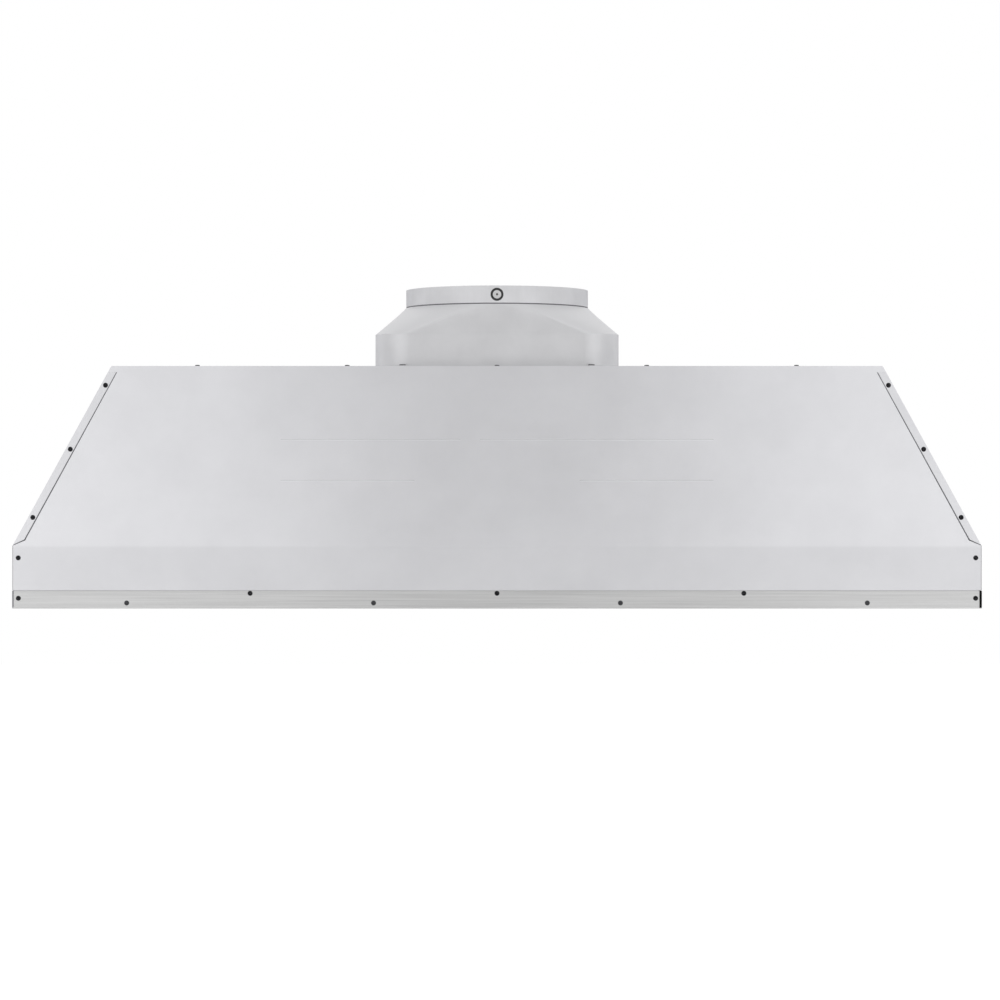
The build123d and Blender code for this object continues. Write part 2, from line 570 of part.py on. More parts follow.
def pan():
    """Brushed bottom pan with its rim, filter opening, lamp holes and hinge ears."""
    edge = HALF + SHEET
    floor = block((-edge, edge), (SHEET, BODY_DEPTH), (0, SHEET))
    rear = block((SHEET - HALF, HALF - SHEET), (SHEET, 2 * SHEET), (0, RIM_HEIGHT + RIM_LAP))
    front = block((-edge, edge), (SKIRT_FRONT, BODY_DEPTH), (0, RIM_HEIGHT))
    side = block((HALF, edge), (SHEET, BODY_DEPTH), (0, RIM_HEIGHT))
    wall_x = OPEN_X + SHEET
    wall_y = (PAN_BACK - SHEET, OPEN_FRONT + SHEET)
    wall = block((-wall_x, wall_x), wall_y, (0, UPSTAND))
    hollow = block((-OPEN_X, OPEN_X), (PAN_BACK, OPEN_FRONT), (-SHEET, UPSTAND + SHEET))
    reach = ROD_DIAMETER / 2 + HOOK_WALL
    ears = []
    for x in ear_places():
        low = (x - EAR_SHEET / 2, ROD_Y, ROD_Z)
        stalk = block((low[0], low[0] + EAR_SHEET), (PAN_BACK, ROD_Y), (ROD_Z - reach, ROD_Z + reach))
        ears.append(join([stalk, rod(low, (1, 0, 0), EAR_SHEET, 2 * reach)]))
    bore = rod((-OPEN_X, ROD_Y, ROD_Z), (1, 0, 0), 2 * OPEN_X, ROD_DIAMETER + RUN_PLAY)
    body = join([floor, rear, front, wall] + both_sides(side)) - hollow
    cuts = [rod((s * LAMP_SPREAD, LAMP_Y, -SHEET), UP, 3 * SHEET, LAMP_HOLE) for s in (-1, 1)]
    cuts += spread(flush_hole(), LOW_CORNER_SEATS + UPPER_BAND_SEATS + LOWER_BAND_SEATS, BACK)
    nodes["bottom_pan"] = join([body - cuts] + [ear - bore for ear in ears])


def ear_places():
    """Where the ears of the hinge rod stand: both ends and between the filters."""
    end = OPEN_X - EAR_SHEET
    between = (FILTER_WIDTH + FILTER_GAP) / 2
    return (-end, -between, between, end)


def ring(width, depth, corner, z):
    """Rounded rectangle of eight edges, counter-clockwise from its right side."""
    w = width / 2
    d = depth / 2
    slip = corner * (1 - cos(radians(45)))
    turns = ((1, 1), (-1, 1), (-1, -1), (1, -1))
    sides = [
        ((w, corner - d), (w, d - corner)),
        ((w - corner, d), (corner - w, d)),
        ((-w, d - corner), (-w, corner - d)),
        ((corner - w, -d), (w - corner, -d)),
    ]
    edges = []
    for i, (start, end) in enumerate(sides):
        after = sides[(i + 1) % 4][0]
        middle = (turns[i][0] * (w - slip), turns[i][1] * (d - slip))
        places = [Vector(x, y + DUCT_Y, z) for x, y in (start, end, middle, after)]
        edges.append(Edge.make_line(places[0], places[1]))
        edges.append(Edge.make_three_point_arc(places[1], places[2], places[3]))
    return Wire(edges)


def neck(radius, z):
    """Circle cut into the eight arcs that answer the edges of the ring."""
    edges = []
    for quarter in range(4):
        middle = quarter * 90
        facet = (middle - FACET_ANGLE, middle, middle + FACET_ANGLE)
        stops = facet + (middle + 45, middle + 90 - FACET_ANGLE)
        places = [
            Vector(radius * cos(radians(a)), radius * sin(radians(a)) + DUCT_Y, z) for a in stops
        ]
        edges.append(Edge.make_three_point_arc(places[0], places[1], places[2]))
        edges.append(Edge.make_three_point_arc(places[2], places[3], places[4]))
    return Wire(edges)


def funnel(inset):
    """Solid shape of the transition, drawn in by a sheet thickness where asked."""
    width = TRANSITION_WIDTH - 2 * inset
    depth = BASE_DEPTH - 2 * inset
    corner = TRANSITION_CORNER - inset
    radius = DUCT_RADIUS - COLLAR_STEP + NECK_PLAY + TRANSITION_SHEET - inset
    bend = BODY_HEIGHT + TRANSITION_WALL
    base = Solid.extrude(Face(ring(width, depth, corner, BODY_HEIGHT)), Vector(0, 0, TRANSITION_WALL))
    slope = Solid.make_loft([ring(width, depth, corner, bend), neck(radius, NECK_Z)], ruled=True)
    return join([base, slope])


def duct():
    """Transition, collar, damper and its bushes and seal."""
    cavity = funnel(TRANSITION_SHEET)
    tab_z = (BODY_HEIGHT, TAB_Z)
    tab_x = TAB_SCREW_SPREAD + TAB_END
    tab_y = SIDE_TAB_SCREW_SPREAD + TAB_END
    end_low = BASE_DEPTH / 2 - TRANSITION_CORNER
    end_high = BASE_DEPTH / 2 + TAB_DEPTH
    rear_tab = block((-tab_x, tab_x), (DUCT_Y - end_high, DUCT_Y - end_low), tab_z)
    front_tab = block((-tab_x, tab_x), (DUCT_Y + end_low, DUCT_Y + end_high), tab_z)
    side_x_limits = (TRANSITION_WIDTH / 2 - TRANSITION_CORNER, TRANSITION_WIDTH / 2 + TAB_DEPTH)
    side_tab = block(side_x_limits, (DUCT_Y - tab_y, DUCT_Y + tab_y), tab_z)
    body = join([funnel(0), rear_tab, front_tab] + both_sides(side_tab))
    nodes["duct_transition"] = body - [cavity] - spread(pan_hole(), TAB_SEATS, UP)

    # Collar: its lower end is drawn in by a step and tucked into the neck
    foot = (0, DUCT_Y, NECK_Z - COLLAR_TUCK)
    step = (0, DUCT_Y, NECK_Z + COLLAR_SEAM)
    bend = (0, DUCT_Y, NECK_Z + COLLAR_SEAM + COLLAR_SHEET)
    tuck_outer = DUCT_DIAMETER - 2 * COLLAR_STEP
    tuck_inner = tuck_outer - 2 * COLLAR_SHEET
    inner = DUCT_DIAMETER - 2 * COLLAR_SHEET
    tuck = rod(foot, UP, COLLAR_TUCK + COLLAR_SEAM, tuck_outer)
    skin = rod(step, UP, COLLAR_RISE - COLLAR_SEAM, DUCT_DIAMETER)
    low_bore = rod(foot, UP, COLLAR_TUCK + COLLAR_RISE, tuck_inner)
    high_bore = rod(bend, UP, COLLAR_RISE, inner)
    pivot = (0, DUCT_Y - DUCT_RADIUS - PAST, AXLE_Z)
    through = DUCT_DIAMETER + 2 * PAST
    bush_hole = rod(pivot, (0, 1, 0), through, BUSH_DIAMETER + RUN_PLAY)
    nodes["duct_collar"] = join([tuck, skin]) - [low_bore, high_bore, bush_hole]

    # Axle with a head at each end, and its bushes, cut to the round of the collar
    heads = []
    dimples = []
    for s in (-1, 1):
        end = (0, DUCT_Y + s * DUCT_RADIUS, AXLE_Z)
        heads.append(rod(end, (0, -s, 0), AXLE_HEAD_LENGTH, AXLE_HEAD))
        dimples.append(rod(end, (0, -s, 0), AXLE_DIMPLE_DEPTH, AXLE_DIMPLE))
    bar = rod((0, DUCT_Y - DUCT_RADIUS, AXLE_Z), (0, 1, 0), DUCT_DIAMETER, AXLE_DIAMETER)
    reach = DUCT_RADIUS - BUSH_LENGTH
    nodes["damper_axle"] = (join([bar] + heads) & skin) - dimples
    for name, s in (("damper_bush_rear", -1), ("damper_bush_front", 1)):
        start = (0, DUCT_Y + s * reach, AXLE_Z)
        sleeve = tube(start, (0, s, 0), BUSH_LENGTH, BUSH_DIAMETER, AXLE_HEAD + RUN_PLAY)
        nodes[name] = sleeve & skin

    # Two half-round flaps whose knuckles share the axle
    knuckle = AXLE_DIAMETER + 2 * RUN_PLAY + 2 * KNUCKLE_WALL
    clear = knuckle / 2 + FLAP_ROOT_GAP
    half_sheet = FLAP_SHEET / 2
    radius = inner / 2 - FLAP_MARGIN
    plate_z = (AXLE_Z - half_sheet, AXLE_Z + half_sheet)
    disc = rod((0, DUCT_Y, plate_z[0]), UP, FLAP_SHEET, 2 * radius)
    bore = rod(pivot, (0, 1, 0), through, AXLE_DIAMETER + 2 * RUN_PLAY)
    notch_start = DUCT_RADIUS - AXLE_HEAD_LENGTH - NOTCH_GAP
    notch_z = (AXLE_Z - knuckle, AXLE_Z + knuckle)
    for name, s, first in (("left_damper_flap", -1, 0), ("right_damper_flap", 1, 1)):
        side = sorted((s * clear, s * DUCT_RADIUS))
        pieces = [disc & block(side, (0, DUCT_Y + DUCT_DIAMETER), plate_z)]
        for i in (first, first + 2):
            low = DUCT_Y + (i - 2) * KNUCKLE_LENGTH + KNUCKLE_GAP / 2
            length = KNUCKLE_LENGTH - KNUCKLE_GAP
            pieces.append(rod((0, low, AXLE_Z), (0, 1, 0), length, knuckle))
            tongue = sorted((s * AXLE_DIAMETER / 2, s * (clear + FLAP_SHEET)))
            pieces.append(block(tongue, (low, low + length), plate_z))
        notches = []
        for end in (-1, 1):
            notch_y = sorted((DUCT_Y + end * notch_start, DUCT_Y + end * DUCT_RADIUS))
            notches.append(block((-FLAP_NOTCH, FLAP_NOTCH), notch_y, notch_z))
        nodes[name] = join(pieces) - [bore] - notches

    # Rubber ring that the closed flaps lie on
    seal_top = AXLE_Z - half_sheet - SEAL_GAP
    outer = tuck_inner - 2 * RUN_PLAY
    seal = tube((0, DUCT_Y, seal_top - SEAL_HEIGHT), UP, SEAL_HEIGHT, outer, outer - 2 * SEAL_WIDTH)
    notch_z = (AXLE_Z - BUSH_DIAMETER / 2 - SEAL_NOTCH_GAP, AXLE_Z)
    notch = block((-FLAP_NOTCH, FLAP_NOTCH), (DUCT_Y - DUCT_RADIUS, DUCT_Y + DUCT_RADIUS), notch_z)
    nodes["damper_seal"] = seal - notch


def scroll_points():
    """Key places of the blower spiral in depth and height."""
    first = (SHAFT_SETBACK + SCROLL_GROWTH / 2, SHAFT_Z - SCROLL_GROWTH / 2)
    second = (first[0] - SCROLL_GROWTH, first[1])
    third = (second[0], second[1] + SCROLL_GROWTH)
    return {
        "centres": (first, second, third),
        "back": third[0] - SCROLL_RADIUS - 2 * SCROLL_GROWTH,
        "tongue": first[0],
    }


def scroll_face(x, grow):
    """Outline of the blower spiral with its outlet at the top, let out by an amount."""
    points = scroll_points()
    first, second, third = points["centres"]
    radii = [SCROLL_RADIUS + i * SCROLL_GROWTH + grow for i in range(3)]
    tongue_y = points["tongue"] + grow
    tongue_z = first[1] + sqrt(radii[0] ** 2 - grow**2)
    back_y = points["back"] - grow
    diagonal = cos(radians(45))

    def place(y, z):
        return Vector(x, y, z)

    def bulge(centre, radius, y_sign, z_sign):
        return place(centre[0] + y_sign * radius * diagonal, centre[1] + z_sign * radius * diagonal)

    tongue = place(tongue_y, tongue_z)
    front = place(first[0] + radii[0], first[1])
    bottom = place(second[0], second[1] - radii[1])
    back = place(third[0] - radii[2], third[1])
    edges = [
        Edge.make_line(place(tongue_y, UNDER_TOP), tongue),
        Edge.make_three_point_arc(tongue, bulge(first, radii[0], 1, 1), front),
        Edge.make_three_point_arc(front, bulge(second, radii[1], 1, -1), bottom),
        Edge.make_three_point_arc(bottom, bulge(third, radii[2], -1, -1), back),
        Edge.make_line(back, place(back_y, UNDER_TOP)),
        Edge.make_line(place(back_y, UNDER_TOP), place(tongue_y, UNDER_TOP)),
    ]
    return Face(Wire(edges))


def scroll_seats():
    """Screws that hang the blower from the top panel."""
    points = scroll_points()
    x = PLATE_X + SCROLL_FLANGE / 2
    ys = (points["back"] + SCROLL_SCREW_INSET, points["tongue"] - SCROLL_SCREW_INSET)
    return [(s * x, y, BODY_HEIGHT) for s in (-1, 1) for y in ys]


def spider_places():
    """Depth and height of the spider's feet, as directions from the shaft."""
    return [(cos(radians(a)), sin(radians(a))) for a in SPIDER_ANGLES]


def foot_seats():
    """Screws through the spider's feet into the left scroll plate."""
    reach = SPIDER_REACH + SPIDER_SHEET + (SPIDER_FOOT - SPIDER_SHEET) / 2
    x = -PLATE_X - SPIDER_SHEET
    return [(x, SHAFT_SETBACK + reach * y, SHAFT_Z + reach * z) for y, z in spider_places()]


def blower():
    """Scroll housing, impeller, shaft, motor, spider and capacitor."""
    width = Vector(SCROLL_WIDTH, 0, 0)
    shell = Solid.extrude(scroll_face(-SCROLL_WIDTH / 2, SHEET), width)
    hollow = Solid.extrude(scroll_face(-SCROLL_WIDTH / 2, 0), width)
    nodes["scroll_wrap"] = shell - hollow

    points = scroll_points()
    centre = (PLATE_X - SHEET, SHAFT_SETBACK, SHAFT_Z)
    plate = Solid.extrude(scroll_face(PLATE_X - SHEET, SHEET), Vector(SHEET, 0, 0))
    flange_x = (PLATE_X - SHEET / 2, PLATE_X + SCROLL_FLANGE)
    flange = block(flange_x, (points["back"], points["tongue"]), (UNDER_TOP - SHEET, UNDER_TOP))
    mouth = rod(centre, (1, 0, 0), SHEET + INLET_LIP, INLET_DIAMETER + 2 * SHEET)
    throat = rod(centre, (1, 0, 0), SHEET + INLET_LIP, INLET_DIAMETER)
    right = join([plate, flange, mouth]) - [throat] - spread(pan_hole(), scroll_seats(), UP)
    nodes["right_scroll_plate"] = right
    left = mirror(right, about=Plane.YZ)
    nodes["left_scroll_plate"] = left - spread(pan_hole(), foot_seats(), (-1, 0, 0))

    nodes["impeller"] = impeller()
    motor_face = -SPIDER_X - SPIDER_SHEET
    shaft_start = motor_face - SHAFT_SEAT
    start = (shaft_start, SHAFT_SETBACK, SHAFT_Z)
    nodes["motor_shaft"] = rod(start, (1, 0, 0), HUB_WIDTH / 2 - shaft_start, SHAFT_DIAMETER)

    case = rod((motor_face, SHAFT_SETBACK, SHAFT_Z), (-1, 0, 0), MOTOR_LENGTH, MOTOR_DIAMETER)
    case = fillet(case.edges().sort_by(Axis.X)[:1], MOTOR_ROUND)
    waist = (motor_face - (MOTOR_LENGTH + MOTOR_BAND) / 2, SHAFT_SETBACK, SHAFT_Z)
    band = rod(waist, (1, 0, 0), MOTOR_BAND, MOTOR_DIAMETER + 2 * MOTOR_BAND_RISE)
    bore_diameter = SHAFT_DIAMETER + 2 * RUN_PLAY
    bore = rod((motor_face, SHAFT_SETBACK, SHAFT_Z), (-1, 0, 0), SHAFT_SEAT + PAST, bore_diameter)
    nodes["motor"] = join([case, band]) - bore

    nodes["motor_spider"] = spider()

    can_y = CAPACITOR_SETBACK
    can_z = BODY_HEIGHT - CAPACITOR_DROP
    can = rod((PLATE_X, can_y, can_z), (1, 0, 0), CAPACITOR_LENGTH, CAPACITOR_DIAMETER)
    nodes["capacitor"] = fillet(can.edges().sort_by(Axis.X)[-1:], CAPACITOR_ROUND)


def impeller():
    """Double-inlet fan wheel: blades, middle plate, two end hoops and a hub."""
    outer = IMPELLER_DIAMETER / 2
    inner = outer - BLADE_DEPTH
    left = -IMPELLER_WIDTH / 2

    def place(radius, degrees):
        angle = radians(degrees)
        return Vector(left, SHAFT_SETBACK + radius * cos(angle), SHAFT_Z + radius * sin(angle))

    middle = (inner + outer) / 2
    stations = [(inner, 0), (middle, BLADE_SWEEP * BLADE_BELLY), (outer, BLADE_SWEEP)]
    near = [place(radius, lean) for radius, lean in stations]
    far = [place(radius, lean + degrees(BLADE_SHEET / radius)) for radius, lean in stations]
    outline = Wire(
        [
            Edge.make_three_point_arc(*near),
            Edge.make_line(near[2], far[2]),
            Edge.make_three_point_arc(far[2], far[1], far[0]),
            Edge.make_line(far[0], near[0]),
        ]
    )
    blade = Solid.extrude(Face(outline), Vector(IMPELLER_WIDTH, 0, 0))
    axis = Axis((0, SHAFT_SETBACK, SHAFT_Z), (1, 0, 0))
    pieces = [blade.rotate(axis, i * 360 / BLADE_COUNT) for i in range(BLADE_COUNT)]
    hoop_inner = 2 * (outer - HOOP_WIDTH)
    for x in (left, -left - HOOP_WIDTH):
        pieces.append(tube((x, SHAFT_SETBACK, SHAFT_Z), (1, 0, 0), HOOP_WIDTH, 2 * outer, hoop_inner))
    pieces.append(rod((-SHEET, SHAFT_SETBACK, SHAFT_Z), (1, 0, 0), 2 * SHEET, 2 * outer - HOOP_WIDTH))
    pieces.append(rod((-HUB_WIDTH / 2, SHAFT_SETBACK, SHAFT_Z), (1, 0, 0), HUB_WIDTH, HUB_DIAMETER))
    bore = rod((left, SHAFT_SETBACK, SHAFT_Z), (1, 0, 0), IMPELLER_WIDTH, SHAFT_DIAMETER + 2 * SHAFT_FIT)
    return join(pieces) - bore


def spider():
    """Three-legged plate that carries the motor in front of the left inlet."""
    face = -SPIDER_X
    disc = rod((face, SHAFT_SETBACK, SHAFT_Z), (-1, 0, 0), SPIDER_SHEET, MOTOR_DIAMETER)
    arm_x = (face - SPIDER_SHEET, face)
    arm_y = (SHAFT_SETBACK, SHAFT_SETBACK + SPIDER_REACH + SPIDER_SHEET)
    arm_z = (SHAFT_Z - SPIDER_ARM / 2, SHAFT_Z + SPIDER_ARM / 2)
    arm = block(arm_x, arm_y, arm_z)
    leg_y = (SHAFT_SETBACK + SPIDER_REACH, SHAFT_SETBACK + SPIDER_REACH + SPIDER_SHEET)
    leg = block((face - SPIDER_SHEET, -PLATE_X), leg_y, arm_z)
    foot_y = (SHAFT_SETBACK + SPIDER_REACH, SHAFT_SETBACK + SPIDER_REACH + SPIDER_FOOT)
    foot = block((-PLATE_X - SPIDER_SHEET, -PLATE_X), foot_y, arm_z)
    axis = Axis((0, SHAFT_SETBACK, SHAFT_Z), (1, 0, 0))
    limb = join([arm, leg, foot])
    limbs = [limb.rotate(axis, angle) for angle in SPIDER_ANGLES]
    hole = rod((0, SHAFT_SETBACK, SHAFT_Z), (-1, 0, 0), 2 * SPIDER_X, HUB_DIAMETER)
    return join([disc] + limbs) - [hole] - spread(pan_hole(), foot_seats(), (-1, 0, 0))


def filters():
    """Baffle filters that hang on the hinge rod, and the magnets that hold them shut."""
    length = 2 * OPEN_X - SHEET
    nodes["filter_rod"] = rod((-length / 2, ROD_Y, ROD_Z), (1, 0, 0), length, ROD_DIAMETER)
    magnets = []
    for name, x in zip(FILTER_NAMES, FILTER_XS):
        nodes[name + "_frame"] = filter_frame(x)
        nodes[name + "_baffles"] = filter_baffles(x)
        nodes[name + "_bail"] = filter_bail(x)
        for s in (-1, 1):
            middle = x + s * MAGNET_SPREAD
            magnet_x = (middle - MAGNET_LENGTH / 2, middle + MAGNET_LENGTH / 2)
            magnet_y = (OPEN_FRONT - MAGNET_WIDTH, OPEN_FRONT)
            magnets.append(block(magnet_x, magnet_y, (FILTER_TOP + MAGNET_GAP, UPSTAND)))
    nodes["filter_magnets"] = Compound(children=magnets)


def filter_frame(x):
    """Channel frame, its two hooks on the hinge rod and the ears of its bail."""
    half = FILTER_WIDTH / 2
    t = FILTER_SHEET
    outside = block((x - half, x + half), (FILTER_BACK, FILTER_FRONT), (FILTER_RISE, FILTER_TOP))
    channel = block(
        (x - half + t, x + half - t),
        (FILTER_BACK + t, FILTER_FRONT - t),
        (FILTER_RISE + t, FILTER_TOP - t),
    )
    window = block(
        (x - half + FILTER_BAR, x + half - FILTER_BAR),
        (FILTER_BACK + FILTER_BAR, FILTER_FRONT - FILTER_BAR),
        (FILTER_RISE - t, FILTER_TOP + t),
    )
    frame = outside - [channel, window]
    bore = ROD_DIAMETER + 2 * RUN_PLAY
    outer = bore + 2 * HOOK_WALL
    hooks = []
    for s in (-1, 1):
        low = x + s * HOOK_SPREAD - HOOK_WIDTH / 2
        curl = tube((low, ROD_Y, ROD_Z), (1, 0, 0), HOOK_WIDTH, outer, bore)
        mouth = block((low, low + HOOK_WIDTH), (ROD_Y, ROD_Y + outer), (ROD_Z - outer, ROD_Z + bore / 2))
        tongue_z = (ROD_Z + bore / 2, ROD_Z + outer / 2)
        tongue = block((low, low + HOOK_WIDTH), (ROD_Y, FILTER_BACK + t / 2), tongue_z)
        hooks.append(join([curl - mouth, tongue]))
    ears = []
    pivot_y = FILTER_FRONT - BAIL_INSET
    pivot_z = FILTER_RISE - BAIL_HANG
    seat_y = (pivot_y - BAIL_WIRE, FILTER_FRONT - FILTER_BAR / 2)
    for s in (-1, 1):
        low = x + s * (BAIL_WIDTH / 2 + BAIL_BEND + BAIL_EAR_OFFSET) - EAR_SHEET / 2
        stalk_y = (pivot_y - BAIL_WIRE, pivot_y + BAIL_WIRE)
        stalk = block((low, low + EAR_SHEET), stalk_y, (pivot_z, FILTER_RISE))
        eye = rod((low, pivot_y, pivot_z), (1, 0, 0), EAR_SHEET, 2 * BAIL_WIRE)
        seat_x = (low - EAR_SHEET, low + 2 * EAR_SHEET)
        seat = block(seat_x, seat_y, (FILTER_RISE - t / 2, FILTER_RISE + t))
        hole = rod((low, pivot_y, pivot_z), (1, 0, 0), EAR_SHEET, BAIL_WIRE + 2 * RUN_PLAY)
        ears.append(join([stalk, eye, seat]) - hole)
    return join([frame] + hooks + ears)


def filter_baffles(x):
    """Interlocked vanes between two end rails, held in the frame's channel."""
    t = FILTER_SHEET
    low = FILTER_RISE + 2 * t
    high = FILTER_TOP - t
    half = FILTER_WIDTH / 2 - t - t / 2
    back = FILTER_BACK + t + t / 2
    front = FILTER_FRONT - t - t / 2
    count = int((2 * half - VANE_WIDTH) // VANE_PITCH) + 1
    w = VANE_WIDTH / 2
    pieces = []
    for i in range(count):
        middle = x + (i - (count - 1) / 2) * VANE_PITCH
        pieces.append(vane(middle, w, low, low + VANE_HEIGHT, t, back, front))
    for i in range(count - 1):
        middle = x + (i + 1 - count / 2) * VANE_PITCH
        pieces.append(vane(middle, w, high, high - VANE_HEIGHT, -t, back, front))
    for y in (back, front - t):
        pieces.append(block((x - half, x + half), (y, y + t), (low, high)))
    return join(pieces)


def vane(x, w, floor, tip, t, back, front):
    """One channel-shaped vane, open upward or, with a negative thickness, downward."""
    side = abs(t)
    outline = [
        (x - w, floor),
        (x + w, floor),
        (x + w, tip),
        (x + w - side, tip),
        (x + w - side, floor + t),
        (x - w + side, floor + t),
        (x - w + side, tip),
        (x - w, tip),
    ]
    return along_y(outline, back, front)


def filter_bail(x):
    """Wire handle that hangs from the filter's ears."""
    y = FILTER_FRONT - BAIL_INSET
    z = FILTER_RISE - BAIL_HANG
    half = BAIL_WIDTH / 2
    tip = half + BAIL_BEND + BAIL_TIP
    low = z - BAIL_DROP
    path = FilletPolyline(
        (x - tip, y, z),
        (x - half, y, z),
        (x - half, y, low),
        (x + half, y, low),
        (x + half, y, z),
        (x + tip, y, z),
        radius=BAIL_BEND,
    )
    return wire_along(path, BAIL_WIRE)


def wire_along(path, diameter):
    """Round wire or cable along a path."""
    section = Plane(origin=path @ 0, z_dir=path % 0) * Circle(diameter / 2)
    return sweep(section, path=path)


def lamps():
    """Two round lamps over the holes at the front of the pan."""
    for name, s in (("left_lamp", -1), ("right_lamp", 1)):
        x = s * LAMP_SPREAD
        floor = (x, LAMP_Y, SHEET)
        top = SHEET + LAMP_FLANGE_SHEET
        lip = LAMP_HOLE - 2 * LAMP_PLAY
        face = (x, LAMP_Y, LAMP_RECESS)
        barrel = tube(face, UP, top + LAMP_BARREL - LAMP_RECESS, lip, LAMP_LENS)
        flange = tube(floor, UP, LAMP_FLANGE_SHEET, LAMP_FLANGE, LAMP_LENS)
        ledge = tube(face, UP, LAMP_LEDGE_SHEET, lip, LAMP_LENS - 2 * LAMP_LEDGE)
        nodes[name + "_bezel"] = join([barrel, flange, ledge])
        seat = (x, LAMP_Y, LAMP_RECESS + LAMP_LEDGE_SHEET)
        nodes[name + "_lens"] = rod(seat, UP, LENS_SHEET, LAMP_LENS - 2 * LENS_PLAY)
        shell = rod((x, LAMP_Y, top), UP, LAMP_HEIGHT - top, LAMP_BODY)
        nest = rod((x, LAMP_Y, top), UP, LAMP_BARREL + LAMP_PLAY, lip + 2 * LAMP_PLAY)
        slots = []
        for i in range(-3, 4):
            middle = x + i * LAMP_FIN_PITCH
            slot_x = (middle - LAMP_SLOT / 2, middle + LAMP_SLOT / 2)
            slot_y = (LAMP_Y - LAMP_BODY, LAMP_Y + LAMP_BODY)
            slots.append(block(slot_x, slot_y, (LAMP_HEIGHT - LAMP_FIN_HEIGHT, LAMP_HEIGHT)))
        socket_start = (s * (LAMP_SPREAD - LAMP_BODY), LAMP_Y, LAMP_SOCKET_Z)
        socket_length = LAMP_BODY / 2 + LAMP_SOCKET
        socket = rod(socket_start, (s, 0, 0), socket_length, LAMP_CABLE_DIAMETER + 2 * RUN_PLAY)
        nodes[name + "_body"] = shell - [nest, socket] - slots


def controls():
    """Push buttons, switch box and switch board behind the front skirt."""
    low = BUTTON_Z - SWITCH_BOX_HEIGHT / 2
    high = BUTTON_Z + SWITCH_BOX_HEIGHT / 2
    half = SWITCH_BOX_WIDTH / 2
    wall = SWITCH_BOX_WALL
    outside = block((-half, half), (SWITCH_BACK, SKIRT_INNER), (low, high))
    inside_y = (SWITCH_BACK + wall, SKIRT_INNER + wall)
    inside = block((wall - half, half - wall), inside_y, (low + wall, high - wall))
    board_y = SWITCH_BACK + BOARD_SETBACK
    post_z = SWITCH_BOX_HEIGHT / 2 - wall - BOARD_PLAY - BOARD_POST / 2
    posts = []
    for i in (-1, 1):
        for j in (-1, 1):
            start = (i * (half - BOARD_POST_INSET), SWITCH_BACK + wall / 2, BUTTON_Z + j * post_z)
            posts.append(rod(start, (0, 1, 0), BOARD_SETBACK - wall / 2, BOARD_POST))
    nodes["switch_box"] = join([outside - inside] + posts)

    board_x = half - wall - BOARD_PLAY
    board_z = SWITCH_BOX_HEIGHT / 2 - wall - BOARD_PLAY
    front = board_y + BOARD_SHEET
    board_limits = (BUTTON_Z - board_z, BUTTON_Z + board_z)
    pieces = [block((-board_x, board_x), (board_y, front), board_limits)]
    square = SWITCH_SIDE / 2
    switch_z = (BUTTON_Z - square, BUTTON_Z + square)
    for x in BUTTON_XS:
        pieces.append(block((x - square, x + square), (front, front + SWITCH_HEIGHT), switch_z))
        plunger = SWITCH_HEIGHT + PLUNGER_LENGTH
        pieces.append(rod((x, front, BUTTON_Z), (0, 1, 0), plunger, PLUNGER_DIAMETER))
    nodes["switch_board"] = join(pieces)

    cap_length = BUTTON_FRONT - BUTTON_BACK
    collar_y = SKIRT_INNER - RUN_PLAY - BUTTON_FLANGE_SHEET
    for name, x in zip(BUTTON_NAMES, BUTTON_XS):
        cap = rod((x, BUTTON_BACK, BUTTON_Z), (0, 1, 0), cap_length, BUTTON_DIAMETER)
        cap = fillet(cap.edges().sort_by(Axis.Y)[-1:], BUTTON_ROUND)
        collar = rod((x, collar_y, BUTTON_Z), (0, 1, 0), BUTTON_FLANGE_SHEET, BUTTON_FLANGE)
        nodes[name] = join([cap, collar])


